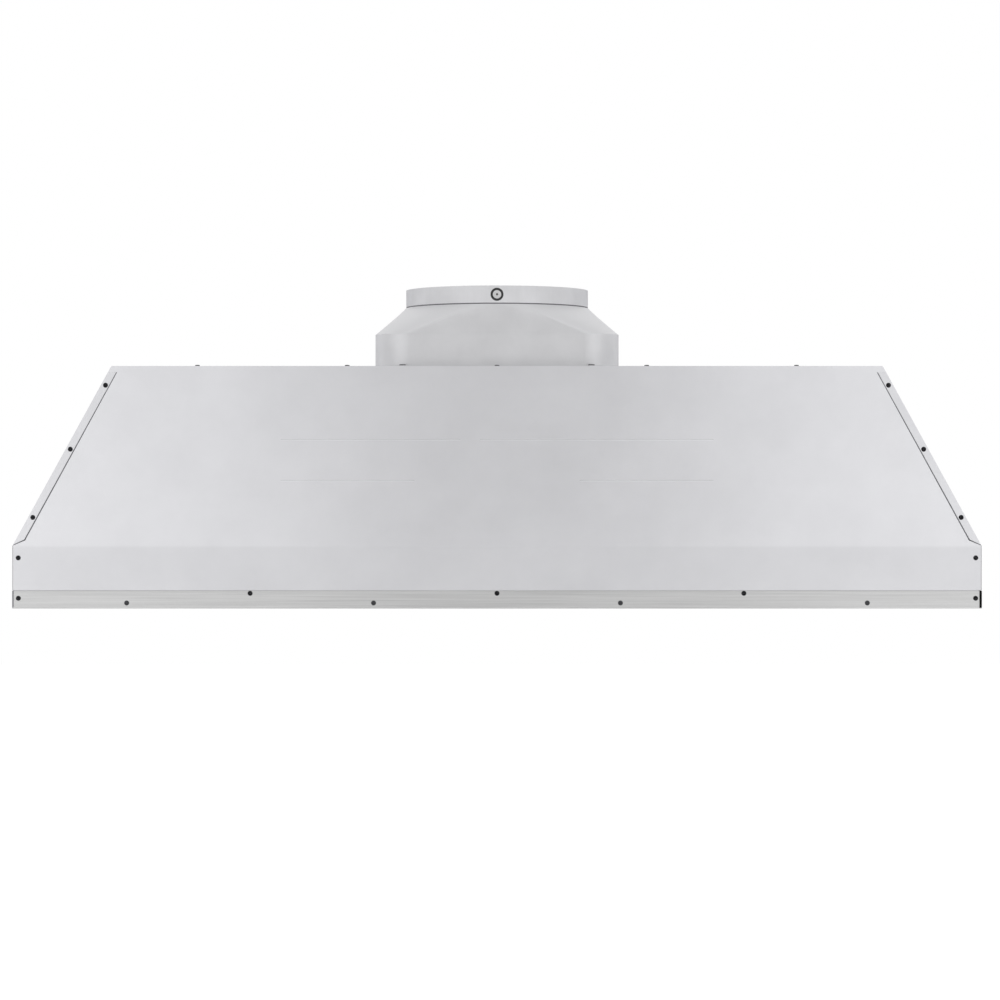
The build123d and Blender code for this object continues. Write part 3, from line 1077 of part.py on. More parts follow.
def wiring():
    """Junction box under the top panel, and the cables."""
    wall = SHEET
    half_x = JUNCTION_WIDTH / 2
    half_y = JUNCTION_DEPTH / 2
    low = UNDER_TOP - JUNCTION_HEIGHT
    box_x = (JUNCTION_X - half_x, JUNCTION_X + half_x)
    box_y = (JUNCTION_SETBACK - half_y, JUNCTION_SETBACK + half_y)
    outside = block(box_x, box_y, (low, UNDER_TOP))
    inside_x = (box_x[0] + wall, box_x[1] - wall)
    inside_y = (box_y[0] + wall, box_y[1] - wall)
    inside = block(inside_x, inside_y, (low - PAST, UNDER_TOP - wall))
    hole = rod((JUNCTION_X, JUNCTION_SETBACK, low), UP, JUNCTION_HEIGHT + PAST, BUSH_HOLE)
    nodes["junction_box"] = outside - [inside, hole] - spread(pan_hole(), JUNCTION_SEATS, UP)

    lid = block(box_x, box_y, (low - wall, low))
    lip_x = (inside_x[0] + COVER_PLAY, inside_x[1] - COVER_PLAY)
    lip_y = (inside_y[0] + COVER_PLAY, inside_y[1] - COVER_PLAY)
    lip = block(lip_x, lip_y, (low, low + COVER_LIP))
    core_x = (lip_x[0] + wall, lip_x[1] - wall)
    core_y = (lip_y[0] + wall, lip_y[1] - wall)
    core = block(core_x, core_y, (low, low + COVER_LIP + PAST))
    nodes["junction_cover"] = join([lid, lip - core])

    barrel_z = BODY_HEIGHT - BUSH_BARREL
    barrel = rod((JUNCTION_X, JUNCTION_SETBACK, barrel_z), UP, BUSH_BARREL, BUSH_HOLE - 2 * RUN_PLAY)
    rim = rod((JUNCTION_X, JUNCTION_SETBACK, BODY_HEIGHT), UP, BUSH_RIM_SHEET, BUSH_RIM)
    bore = rod((JUNCTION_X, JUNCTION_SETBACK, barrel_z), UP, BUSH_BARREL + BUSH_RIM_SHEET, BUSH_BORE)
    nodes["cable_bush"] = join([barrel, rim]) - bore

    # Motor cable: up from the motor, along the front of the top panel, back to the box
    radius = CABLE_DIAMETER / 2
    run_z = UNDER_TOP - CLIP_WALL - radius
    run_y = FLANGE_FRONT - 2 * CABLE_DIAMETER
    motor_x = -SPIDER_X - SPIDER_SHEET - MOTOR_CABLE_INSET
    motor_top = SHAFT_Z + MOTOR_DIAMETER / 2
    box_front = box_y[1]
    box_x_near = box_x[0] + MOTOR_CABLE_OFFSET
    path = FilletPolyline(
        (motor_x, SHAFT_SETBACK, motor_top),
        (motor_x, SHAFT_SETBACK, run_z),
        (motor_x, run_y, run_z),
        (box_x_near, run_y, run_z),
        (box_x_near, box_front, run_z),
        radius=CABLE_BEND,
    )
    nodes["motor_cable"] = wire_along(path, CABLE_DIAMETER)

    # Clips that hold it up
    clips = []
    span = box_x_near - motor_x - 4 * CABLE_BEND
    for share in (0, 0.5, 1):
        x = motor_x + 2 * CABLE_BEND + span * share
        width = (x - CLIP_WIDTH / 2, x + CLIP_WIDTH / 2)
        grip = radius + CLIP_WALL
        body = block(width, (run_y - grip, run_y + grip), (run_z - grip, UNDER_TOP))
        passage = rod((width[0], run_y, run_z), (1, 0, 0), CLIP_WIDTH, CABLE_DIAMETER + 2 * RUN_PLAY)
        clips.append(body - passage)
    nodes["cable_clips"] = Compound(children=clips)

    # Switch cable: from the box down behind the front slope to the end of the switch box
    box_x_far = box_x[0] + SWITCH_CABLE_OFFSET
    cable_z = low + SWITCH_CABLE_RISE
    off = 2 * CABLE_DIAMETER
    end_y = SKIRT_INNER - SWITCH_CABLE_SETBACK
    path = FilletPolyline(
        (box_x_far, box_front, cable_z),
        (box_x_far, front_y(cable_z, SHEET + off), cable_z),
        (box_x_far, end_y, BUTTON_Z + CABLE_DIAMETER),
        (SWITCH_BOX_WIDTH / 2, end_y, BUTTON_Z + CABLE_DIAMETER),
        radius=[SLOPE_BEND, SKIRT_BEND],
    )
    nodes["switch_cable"] = wire_along(path, CABLE_DIAMETER)

    # Lamp cables: from both ends of the switch box into the sides of the lamps
    start_x = SWITCH_BOX_WIDTH / 2
    end_x = LAMP_SPREAD - LAMP_BODY / 2 + LAMP_SOCKET - RUN_PLAY
    lead_y = SWITCH_BACK + 2 * LAMP_CABLE_DIAMETER
    lead_z = BUTTON_Z - 2 * LAMP_CABLE_DIAMETER
    for name, s in (("left_lamp_cable", -1), ("right_lamp_cable", 1)):
        path = FilletPolyline(
            (s * start_x, lead_y, lead_z),
            (s * (start_x + LAMP_LEAD), lead_y, lead_z),
            (s * (end_x - LAMP_TAIL), LAMP_Y, LAMP_SOCKET_Z),
            (s * end_x, LAMP_Y, LAMP_SOCKET_Z),
            radius=LAMP_CABLE_BEND,
        )
        nodes[name] = wire_along(path, LAMP_CABLE_DIAMETER)


def screws():
    """Every group of like screws."""
    flush = flush_screw()
    small = pan_screw(PAN_HEAD)
    rear = LAP_SEATS + HIGH_CORNER_SEATS + LOW_CORNER_SEATS + UPPER_BAND_SEATS + LOWER_BAND_SEATS
    nodes["back_screws"] = Compound(children=spread(flush, rear, BACK))
    top = REAR_TOP_SEATS + FRONT_TOP_SEATS + SIDE_TOP_SEATS + JUNCTION_SEATS
    nodes["top_screws"] = Compound(children=spread(small, top, UP))
    nodes["transition_screws"] = Compound(children=spread(pan_screw(BIG_HEAD), TAB_SEATS, UP))
    blower_screws = spread(small, scroll_seats(), UP) + spread(small, foot_seats(), (-1, 0, 0))
    nodes["blower_screws"] = Compound(children=blower_screws)


nodes = {}
casing()
pan()
duct()
blower()
filters()
lamps()
controls()
wiring()
screws()

os.makedirs("parts", exist_ok=True)
for node, shape in nodes.items():
    solids = [Pos(0, -OVERALL_DEPTH / 2, 0) * solid for solid in shape.solids()]
    export_step(solids[0] if len(solids) == 1 else Compound(children=solids), f"parts/{node}.step")
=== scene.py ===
import math
import bpy
import bmesh
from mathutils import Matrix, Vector


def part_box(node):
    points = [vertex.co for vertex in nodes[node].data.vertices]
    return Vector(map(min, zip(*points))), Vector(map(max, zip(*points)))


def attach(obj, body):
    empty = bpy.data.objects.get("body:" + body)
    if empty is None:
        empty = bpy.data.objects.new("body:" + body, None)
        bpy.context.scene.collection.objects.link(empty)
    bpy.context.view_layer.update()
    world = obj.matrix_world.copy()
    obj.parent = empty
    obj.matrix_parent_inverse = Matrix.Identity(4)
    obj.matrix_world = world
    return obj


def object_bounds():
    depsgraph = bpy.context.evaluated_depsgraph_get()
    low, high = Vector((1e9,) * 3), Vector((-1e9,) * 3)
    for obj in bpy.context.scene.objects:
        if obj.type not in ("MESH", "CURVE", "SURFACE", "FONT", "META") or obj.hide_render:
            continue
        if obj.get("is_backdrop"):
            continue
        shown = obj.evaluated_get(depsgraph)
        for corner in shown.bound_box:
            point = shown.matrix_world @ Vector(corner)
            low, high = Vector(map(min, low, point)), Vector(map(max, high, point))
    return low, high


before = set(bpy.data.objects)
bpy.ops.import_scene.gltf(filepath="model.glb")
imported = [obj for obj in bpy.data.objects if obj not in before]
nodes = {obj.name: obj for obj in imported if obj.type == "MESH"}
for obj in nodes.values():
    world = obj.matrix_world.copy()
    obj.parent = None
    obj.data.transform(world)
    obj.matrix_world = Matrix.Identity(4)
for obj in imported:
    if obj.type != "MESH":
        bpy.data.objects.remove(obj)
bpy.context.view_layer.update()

# %% [markdown]
# # A wall mount range hood, dressed for its picture
# The imported model already holds every sheet, screw, filter and wheel of the hood in metres, wall at -Y and
# cook at +Y. This lesson gives those pieces the finishes of the real object, adds the few marks that are
# printed on and thin pieces that paint shade and shadow lines in the seams, and sets up the photographer's
# room.

# %% Millimetres in a metre
MM = 1000   # millimetres in a metre

# %% [markdown]
# ## Colours and nodes
# A finish is a small tree of shader nodes. Colours are written as the sRGB hex values that a colour picker
# shows, and Blender works in linear light, so one function turns one into the other. A second function adds
# a node, sets it up, links it, and places the colours of a ramp. Every pattern is given in millimetres, so a
# third function turns a size on the metal into a texture scale.

# %% Helpers for colours, nodes and pattern scales
def linear(colour):
    """An sRGB hex colour as linear red, green, blue and alpha."""
    parts = [int(colour[i:i + 2], 16) / 255 for i in (1, 3, 5)]
    return [p / 12.92 if p <= 0.04045 else ((p + 0.055) / 1.055) ** 2.4 for p in parts] + [1.0]


def per_mm(size):
    """The texture scale, in repeats per metre, of a pattern that is so many millimetres wide."""
    return MM / size


def add_node(tree, kind, inputs=None, stops=(), **settings):
    """Adds a node, applies its settings, sets or links its inputs, and places a ramp's colours."""
    node = tree.nodes.new(kind)
    for name, value in settings.items():
        setattr(node, name, value)
    for socket, value in (inputs or {}).items():
        if isinstance(value, bpy.types.NodeSocket):
            tree.links.new(value, node.inputs[socket])
        else:
            node.inputs[socket].default_value = value
    for i, (position, colour) in enumerate(stops):
        node.color_ramp.elements[i].position = position
        node.color_ramp.elements[i].color = linear(colour)
    return node


def start_finish(name):
    """An empty material with its tree and the object's own coordinates, which move with the piece."""
    material = bpy.data.materials.new(name)
    material.use_nodes = True
    tree = material.node_tree
    tree.nodes.clear()
    return material, tree, add_node(tree, "ShaderNodeTexCoord").outputs["Object"]


def close_finish(tree, shader):
    """Joins the finished shader to the material's output."""
    add_node(tree, "ShaderNodeOutputMaterial", {"Surface": shader.outputs[0]})


NOISE_ENDS = (0.3, 0.7)   # a noise rarely leaves this part of 0 to 1, so the two tones stand here
FULL_ENDS = (0.0, 1.0)    # for even patterns and for fainter flecks
MIX_SHARE, MIX_A, MIX_B, MIX_OUT = 0, 6, 7, 2   # sockets of a Mix node that mixes colours
finishes = {}
print("white is", linear("#FFFFFF"), "and a 2 mm grain repeats", per_mm(2.0), "times a metre")

# %% [markdown]
# ## Satin stainless sheet
# The casing is 304 stainless with a fine satin finish: rolled, lightly linished, and left as it came. The eye
# sees a broad soft reflection of the room, a faint cloudiness where the sheet was handled, and hardly any
# grain. A metal shader with middling roughness gives the reflection. Its highlight is stretched across the
# grain, so each sheet gets a tangent along its own rolling direction. Where two sheets meet, an occlusion node
# finds the narrow places and darkens the colour there as painted shade. On the two pressed lines in the back,
# whose flanks lean by a known angle, painted shade darkens the upper flank and a painted highlight lightens the
# lower one. The skirt below the bend line is a little darker and rougher than the slopes.

# %% Rolling directions and the painted shade in the seams
ACROSS = (0.99, 0.10, 0.08)          # a little off the axes, so that no face has it as its normal
FRONT_TO_BACK = (0.08, 0.99, 0.10)
ACROSS_GRAIN = 0.25                  # of a turn, which lays the highlight across the grain
TO_WORLD = {"vector_type": "VECTOR", "convert_from": "OBJECT", "convert_to": "WORLD"}
SEAM_REACH = 0.004                   # m, how far the painted shade reaches from a seam
SEAM_TIGHT, SEAM_OPEN = 0.35, 0.9    # open share of the surroundings between which the painted shade fades out


def rolled_along(tree, along):
    """The tangent of a sheet that was rolled along the given direction of the hood."""
    rolled = add_node(tree, "ShaderNodeCombineXYZ", {"X": along[0], "Y": along[1], "Z": along[2]})
    return add_node(tree, "ShaderNodeVectorTransform", {"Vector": rolled.outputs[0]}, **TO_WORLD).outputs[0]


def seam_painted_shade(tree, dimmest):
    """The share of colour that the painted shade in the seams leaves, down to the given one."""
    crease = add_node(tree, "ShaderNodeAmbientOcclusion", {"Distance": SEAM_REACH}, samples=6)
    return add_node(tree, "ShaderNodeMapRange",
                    {"Value": crease.outputs["AO"], "From Min": SEAM_TIGHT, "From Max": SEAM_OPEN,
                     "To Min": dimmest, "To Max": 1.0}).outputs["Result"]


# the reach printed is that of the painted shade in the seams
print("dust reaches", MM * SEAM_REACH, "mm from a seam")

# %% The casing's sheet, once across the hood and once from front to back
SHEET_TONES = ("#E0E0E3", "#E6E6E9")
SHEET_CLOUD = 70.0           # mm, size of the cloudy patches
SHEET_GRAIN = (90.0, 1.6)    # mm, length and width of a grain line; real ones are 0.1 mm wide
SHEET_ROUGH = (0.27, 0.33)   # least and most roughness of the slopes
SHEET_RELIEF = 0.0002        # m, depth of the grain
SHEET_SEAM_SHADE = 0.5             # share of colour that the darkest painted shade in the seams leaves
SKIRT_BEND = 0.068           # m, height of the bend line of the casing
SKIRT_BLEND = 0.004          # m, over which the skirt's tone fades into the slope's
SKIRT_LOSS = 0.058           # share by which the skirt below the bend is darker
SKIRT_ROUGHER = 0.05         # roughness added below the bend
LIP_LEAN = 0.124             # how far the flanks of a pressed line lean up or down
LIP_SPAN = 0.02              # how far from that a flank's lean may be
LIP_PAINTED_SHADE = 0.24              # share of colour that the painted shade on the downward upper flank takes
LIP_PAINTED_HIGHLIGHT = 0.11              # share that the painted highlight on the upward lower flank adds


def satin_sheet(name, along):
    """Satin stainless whose grain runs along the given direction of the hood."""
    material, tree, place = start_finish(name)
    long, wide = (per_mm(size) for size in SHEET_GRAIN)
    grain_scale = [long if share == max(along) else wide for share in along]
    stretched = add_node(tree, "ShaderNodeMapping", {"Vector": place, "Scale": grain_scale})
    grain = add_node(tree, "ShaderNodeTexNoise",
                     {"Vector": stretched.outputs[0], "Scale": 1.0, "Detail": 2.0})
    cloud = add_node(tree, "ShaderNodeTexNoise",
                     {"Vector": place, "Scale": per_mm(SHEET_CLOUD), "Detail": 5.0, "Roughness": 0.6})
    colour = add_node(tree, "ShaderNodeValToRGB", {"Fac": cloud.outputs["Fac"]}, zip(NOISE_ENDS, SHEET_TONES))
    height = add_node(tree, "ShaderNodeSeparateXYZ", {"Vector": place})
    lower = add_node(tree, "ShaderNodeMapRange",
                     {"Value": height.outputs["Z"], "From Min": SKIRT_BEND - SKIRT_BLEND,
                      "From Max": SKIRT_BEND, "To Min": 1.0, "To Max": 0.0},
                     interpolation_type="SMOOTHSTEP")
    facing = add_node(tree, "ShaderNodeNewGeometry")
    lean = add_node(tree, "ShaderNodeSeparateXYZ", {"Vector": facing.outputs["True Normal"]})
    # painted shade where two sheets meet
    shade = seam_painted_shade(tree, SHEET_SEAM_SHADE)
    # painted shade on a pressed line's downward flank, painted highlight on its upward flank
    for turn, change in ((-LIP_LEAN, -LIP_PAINTED_SHADE), (LIP_LEAN, LIP_PAINTED_HIGHLIGHT)):
        flank = add_node(tree, "ShaderNodeMath", {0: lean.outputs["Z"], 1: turn, 2: LIP_SPAN},
                         operation="COMPARE")
        shade = add_node(tree, "ShaderNodeMath", {0: flank.outputs[0], 1: change, 2: shade},
                         operation="MULTIPLY_ADD").outputs[0]
    shade = add_node(tree, "ShaderNodeMath", {0: lower.outputs[0], 1: -SKIRT_LOSS, 2: shade},
                     operation="MULTIPLY_ADD")
    toned = add_node(tree, "ShaderNodeMix",
                     {MIX_SHARE: 1.0, MIX_A: colour.outputs["Color"], MIX_B: shade.outputs[0]},
                     data_type="RGBA", blend_type="MULTIPLY")
    worn = add_node(tree, "ShaderNodeMapRange",
                    {"Value": grain.outputs["Fac"], "To Min": SHEET_ROUGH[0], "To Max": SHEET_ROUGH[1]})
    rough = add_node(tree, "ShaderNodeMath",
                     {0: lower.outputs[0], 1: SKIRT_ROUGHER, 2: worn.outputs["Result"]},
                     operation="MULTIPLY_ADD")
    relief = add_node(tree, "ShaderNodeBump",
                      {"Height": grain.outputs["Fac"], "Strength": 0.06, "Distance": SHEET_RELIEF})
    metal = add_node(tree, "ShaderNodeBsdfPrincipled",
                     {"Base Color": toned.outputs[MIX_OUT], "Metallic": 1.0, "Roughness": rough.outputs[0],
                      "Anisotropic": 0.6, "Anisotropic Rotation": ACROSS_GRAIN,
                      "Tangent": rolled_along(tree, along), "Normal": relief.outputs[0]})
    close_finish(tree, metal)
    return material


satin_across = satin_sheet("Satin_stainless_across", ACROSS)
satin_deep = satin_sheet("Satin_stainless_front_to_back", FRONT_TO_BACK)
for sheet in ("back_panel", "front_panel", "top_panel"):
    finishes[sheet] = satin_across
for sheet in ("left_side_panel", "right_side_panel"):
    finishes[sheet] = satin_deep
print("satin sheet on", len(finishes), "nodes")

# %% [markdown]
# ## Brushed band
# The bottom pan is folded from sheet that was brushed on a belt after rolling, so long scratches run along
# its length. They scatter light up and down but hardly sideways, which is what a strong anisotropy does. The
# scratches also vary the tone from line to line, so the same stretched noise drives colour, roughness and a
# shallow bump.

# %% The bottom pan's brushed steel
BELT_TONES = ("#C5C5C5", "#D9D9D9")
BELT_ENDS = (0.28, 0.72)       # places of the two tones in the noise
BELT_SCRATCH = (140.0, 1.3)    # mm; real ones are 0.05 to 0.2 mm wide, drawn wider so that they show
BELT_ROUGH = (0.26, 0.40)
BELT_RELIEF = 0.0003           # m, depth of the scratches
BELT_SEAM_SHADE = 0.7                # share of colour that the darkest painted shade under the panel's edge leaves
material, tree, place = start_finish("Belt_brushed_stainless")
long, wide = (per_mm(size) for size in BELT_SCRATCH)
stretched = add_node(tree, "ShaderNodeMapping", {"Vector": place, "Scale": (long, wide, wide)})
scratch = add_node(tree, "ShaderNodeTexNoise",
                   {"Vector": stretched.outputs[0], "Scale": 1.0, "Detail": 4.0, "Roughness": 0.65})
colour = add_node(tree, "ShaderNodeValToRGB", {"Fac": scratch.outputs["Fac"]}, zip(BELT_ENDS, BELT_TONES))
# painted shade under the back panel's lower edge, where the band sits
toned = add_node(tree, "ShaderNodeMix",
                 {MIX_SHARE: 1.0, MIX_A: colour.outputs["Color"], MIX_B: seam_painted_shade(tree, BELT_SEAM_SHADE)},
                 data_type="RGBA", blend_type="MULTIPLY")
rough = add_node(tree, "ShaderNodeMapRange",
                 {"Value": scratch.outputs["Fac"], "To Min": BELT_ROUGH[0], "To Max": BELT_ROUGH[1]})
relief = add_node(tree, "ShaderNodeBump",
                  {"Height": scratch.outputs["Fac"], "Strength": 0.12, "Distance": BELT_RELIEF})
metal = add_node(tree, "ShaderNodeBsdfPrincipled",
                 {"Base Color": toned.outputs[MIX_OUT], "Metallic": 1.0, "Roughness": rough.outputs["Result"],
                  "Anisotropic": 0.7, "Anisotropic Rotation": ACROSS_GRAIN,
                  "Tangent": rolled_along(tree, ACROSS), "Normal": relief.outputs[0]})
close_finish(tree, metal)
finishes["bottom_pan"] = material
print(material.name, "scratches are", BELT_SCRATCH, "mm")

# %% [markdown]
# ## Pressed transition and rolled collar
# The duct transition is drawn in a press from plain sheet. Drawing stretches the surface, so it has no
# direction left: a dull grey metal with soft patches and a few rub marks from the die. The collar is a strip
# rolled round and welded, matt from the rolls. Steel dims a little where it is seen along its surface, and
# the specular tint of a metal says how much, so the round collar has darker edges. Fine dust lies on every
# slope that faces up. It hides most of the metal, so there the shader is hardly metallic and its colour moves
# to the dust's own. The two sheets come from one table.

# %% The transition's and the collar's sheet
DIE_PATCH = 24.0           # mm, patches where the sheet slid over the die
RUB_MARK = (1.8, 45.0)     # mm, width and length of a rub mark
RUB_RELIEF = 0.0002        # m, depth of a rub mark
DUST_STARTS, DUST_FULL = 0.20, 0.32   # upward part of the normal at which dust begins to lie and lies thickest
DUST_COVER = 0.85          # share of the metal that the thickest dust hides
DUST_TONE = "#CACACC"      # kitchen dust bound by a trace of grease
DRAWN_SHEETS = [
    # name, dark and light tone, least and most roughness, tint seen along the surface, node
    ("Deep_drawn_stainless", ("#D1D1D3", "#D7D7D9"), (0.36, 0.43), "#EAEAEC", "duct_transition"),
    ("Rolled_stainless_strip", ("#D8D8DA", "#DFDFE1"), (0.54, 0.64), "#CCCCD0", "duct_collar"),
]
for name, tones, wear, tint, part in DRAWN_SHEETS:
    material, tree, place = start_finish(name)
    patch = add_node(tree, "ShaderNodeTexNoise",
                     {"Vector": place, "Scale": per_mm(DIE_PATCH), "Detail": 4.0})
    wide, long = (per_mm(size) for size in RUB_MARK)
    drawn = add_node(tree, "ShaderNodeMapping", {"Vector": place, "Scale": (wide, wide, long)})
    rub = add_node(tree, "ShaderNodeTexNoise", {"Vector": drawn.outputs[0], "Scale": 1.0, "Detail": 2.0})
    colour = add_node(tree, "ShaderNodeValToRGB", {"Fac": patch.outputs["Fac"]}, zip(NOISE_ENDS, tones))
    rough = add_node(tree, "ShaderNodeMapRange",
                     {"Value": rub.outputs["Fac"], "To Min": wear[0], "To Max": wear[1]})
    relief = add_node(tree, "ShaderNodeBump",
                      {"Height": rub.outputs["Fac"], "Strength": 0.05, "Distance": RUB_RELIEF})
    facing = add_node(tree, "ShaderNodeNewGeometry")
    lean = add_node(tree, "ShaderNodeSeparateXYZ", {"Vector": facing.outputs["Normal"]})
    dust = add_node(tree, "ShaderNodeMapRange",
                    {"Value": lean.outputs["Z"], "From Min": DUST_STARTS, "From Max": DUST_FULL,
                     "To Min": 0.0, "To Max": DUST_COVER})
    bare = add_node(tree, "ShaderNodeMath", {0: 1.0, 1: dust.outputs["Result"]}, operation="SUBTRACT")
    toned = add_node(tree, "ShaderNodeMix",
                     {MIX_SHARE: dust.outputs["Result"], MIX_A: colour.outputs["Color"],
                      MIX_B: linear(DUST_TONE)}, data_type="RGBA")
    metal = add_node(tree, "ShaderNodeBsdfPrincipled",
                     {"Base Color": toned.outputs[MIX_OUT], "Metallic": bare.outputs[0],
                      "Roughness": rough.outputs["Result"], "Specular Tint": linear(tint),
                      "Normal": relief.outputs[0]})
    close_finish(tree, metal)
    finishes[part] = material
    print(name, "on", part, "with patches of", DIE_PATCH, "mm")

# %% [markdown]
# ## Galvanised sheet
# Everything inside the casing that nobody polishes is hot-dip galvanised: zinc freezes on the steel in
# crystals, the spangle, and each crystal reflects at its own angle. A cell pattern gives every crystal its
# own grey and roughness, and a noise bends the borders between them.

# %% The inner sheets
ZINC_TONES = ("#A4A8AB", "#C2C6C8")
ZINC_ROUGH = (0.32, 0.55)
SPANGLE = 11.0         # mm, width of a zinc crystal
BORDER_WAVE = 9.0      # mm, length of the waves in the crystals' borders
BORDER_PULL = 0.006    # m, how far they pull a border
material, tree, place = start_finish("Hot_dip_galvanised_steel")
bent = add_node(tree, "ShaderNodeTexNoise", {"Vector": place, "Scale": per_mm(BORDER_WAVE), "Detail": 2.0})
pull = add_node(tree, "ShaderNodeVectorMath", {0: bent.outputs["Color"], "Scale": BORDER_PULL},
                operation="SCALE")
wavy = add_node(tree, "ShaderNodeVectorMath", {0: place, 1: pull.outputs[0]}, operation="ADD")
crystal = add_node(tree, "ShaderNodeTexVoronoi", {"Vector": wavy.outputs[0], "Scale": per_mm(SPANGLE)})
grey = add_node(tree, "ShaderNodeSeparateColor", {"Color": crystal.outputs["Color"]})
colour = add_node(tree, "ShaderNodeValToRGB", {"Fac": grey.outputs["Red"]}, zip(FULL_ENDS, ZINC_TONES))
rough = add_node(tree, "ShaderNodeMapRange",
                 {"Value": grey.outputs["Green"], "To Min": ZINC_ROUGH[0], "To Max": ZINC_ROUGH[1]})
metal = add_node(tree, "ShaderNodeBsdfPrincipled",
                 {"Base Color": colour.outputs["Color"], "Metallic": 1.0, "Roughness": rough.outputs["Result"]})
close_finish(tree, metal)
for part in ("back_stiffener", "scroll_wrap", "left_scroll_plate", "right_scroll_plate", "motor_spider",
             "junction_box", "junction_cover"):
    finishes[part] = material
print(material.name, "spangle is", SPANGLE, "mm")

# %% [markdown]
# ## Bars, wires, castings and plated parts
# The axle, the motor's shaft and the filters' rod are ground bar: bright, with fine marks left by the wheel.
# The bails are chrome-plated wire, smoother and cooler, and the magnets are nickel-plated blocks. The damper's
# flaps are aluminium as it leaves the mill, the lamps' bezels are anodised and their bodies die-cast. All
# these differ in tone, roughness and the size of the marks, so one function makes them from a short table.

# %% Bright metals from one table
def mottled_finish(name, tones, wear, patch, pit, relief, body, detail=3.0):
    """Patches of tone and wear over pits, both sized in mm.

    Relief is the bump's strength and its depth in m, and body sets the shader's other sockets.
    """
    material, tree, place = start_finish(name)
    patches, pits = (add_node(tree, "ShaderNodeTexNoise",
                              {"Vector": place, "Scale": per_mm(size), "Detail": detail}).outputs["Fac"]
                     for size in (patch, pit))
    colour = add_node(tree, "ShaderNodeValToRGB", {"Fac": patches}, zip(NOISE_ENDS, tones))
    rough = add_node(tree, "ShaderNodeMapRange", {"Value": patches, "To Min": wear[0], "To Max": wear[1]})
    bump = add_node(tree, "ShaderNodeBump", {"Height": pits, "Strength": relief[0], "Distance": relief[1]})
    shader = add_node(tree, "ShaderNodeBsdfPrincipled",
                      {"Base Color": colour.outputs["Color"], "Roughness": rough.outputs["Result"],
                       "Normal": bump.outputs[0], **body})
    close_finish(tree, shader)
    return material


MARK_RELIEF = (0.08, 0.0001)   # strength, and depth in m
BRIGHT_METALS = [
    # name, dark and light tone, least and most roughness, mark in mm, nodes
    ("Ground_steel_bar", ("#DADADB", "#E3E3E4"), (0.24, 0.34), 3.0,
     ("damper_axle", "motor_shaft", "filter_rod")),
    ("Chrome_plated_wire", ("#CDCFD2", "#D8DADD"), (0.06, 0.14), 8.0,
     ("left_filter_bail", "centre_filter_bail", "right_filter_bail")),
    ("Nickel_plated_magnet", ("#8E8B84", "#A5A29A"), (0.25, 0.40), 3.0, ("filter_magnets",)),
    ("Mill_finish_aluminium", ("#C4C6C8", "#D4D6D8"), (0.28, 0.42), 6.0,
     ("left_damper_flap", "right_damper_flap")),
    ("Anodised_aluminium", ("#C0C1C3", "#CBCCCE"), (0.30, 0.36), 1.2, ("left_lamp_bezel", "right_lamp_bezel")),
    ("Die_cast_aluminium", ("#8A8C8E", "#A0A2A4"), (0.45, 0.62), 2.0, ("left_lamp_body", "right_lamp_body")),
]
for name, tones, wear, mark, carriers in BRIGHT_METALS:
    material = mottled_finish(name, tones, wear, mark, mark, MARK_RELIEF, {"Metallic": 1.0})
    for part in carriers:
        finishes[part] = material
    print(name, "on", carriers)

# %% [markdown]
# ## Baffle filters
# The filters are folded from thin 430 stainless with a bright annealed finish. Their channels run from the
# wall to the cook, so the grain does too. Cooking leaves a faint film in the channels, which shows as slow
# patches of roughness.

# %% The filters' bright sheet
FILTER_TONES = ("#BFBFC1", "#CDCDCF")
FILTER_ROUGH = (0.20, 0.32)
FILTER_GRAIN = (90.0, 2.0)   # mm, length and width of a grain line, drawn wider so that it shows
FILTER_RELIEF = 0.0002       # m, depth of the grain
FILM_PATCH = 38.0            # mm
material, tree, place = start_finish("Bright_annealed_stainless")
long, wide = (per_mm(size) for size in FILTER_GRAIN)
stretched = add_node(tree, "ShaderNodeMapping", {"Vector": place, "Scale": (wide, long, wide)})
grain = add_node(tree, "ShaderNodeTexNoise", {"Vector": stretched.outputs[0], "Scale": 1.0, "Detail": 3.0})
film = add_node(tree, "ShaderNodeTexNoise", {"Vector": place, "Scale": per_mm(FILM_PATCH), "Detail": 3.0})
colour = add_node(tree, "ShaderNodeValToRGB", {"Fac": grain.outputs["Fac"]}, zip(NOISE_ENDS, FILTER_TONES))
rough = add_node(tree, "ShaderNodeMapRange",
                 {"Value": film.outputs["Fac"], "To Min": FILTER_ROUGH[0], "To Max": FILTER_ROUGH[1]})
relief = add_node(tree, "ShaderNodeBump",
                  {"Height": grain.outputs["Fac"], "Strength": 0.03, "Distance": FILTER_RELIEF})
metal = add_node(tree, "ShaderNodeBsdfPrincipled",
                 {"Base Color": colour.outputs["Color"], "Metallic": 1.0, "Roughness": rough.outputs["Result"],
                  "Anisotropic": 0.5, "Anisotropic Rotation": ACROSS_GRAIN,
                  "Tangent": rolled_along(tree, FRONT_TO_BACK), "Normal": relief.outputs[0]})
close_finish(tree, metal)
for side in ("left", "centre", "right"):
    finishes[side + "_filter_frame"] = material
    finishes[side + "_filter_baffles"] = material
print(material.name, "film patches are", FILM_PATCH, "mm")

# %% [markdown]
# ## Plastics, rubber and paint
# Moulded nylon is matt and finely pitted by its mould. Rubber is darker and duller, cable sheath a little
# shinier. The wheel and the motor are coated: stoved paint flows before it sets, which leaves a fine orange
# peel. All of them are one dielectric shader with a mottled colour, a spread of roughness and a bump of the
# right size.

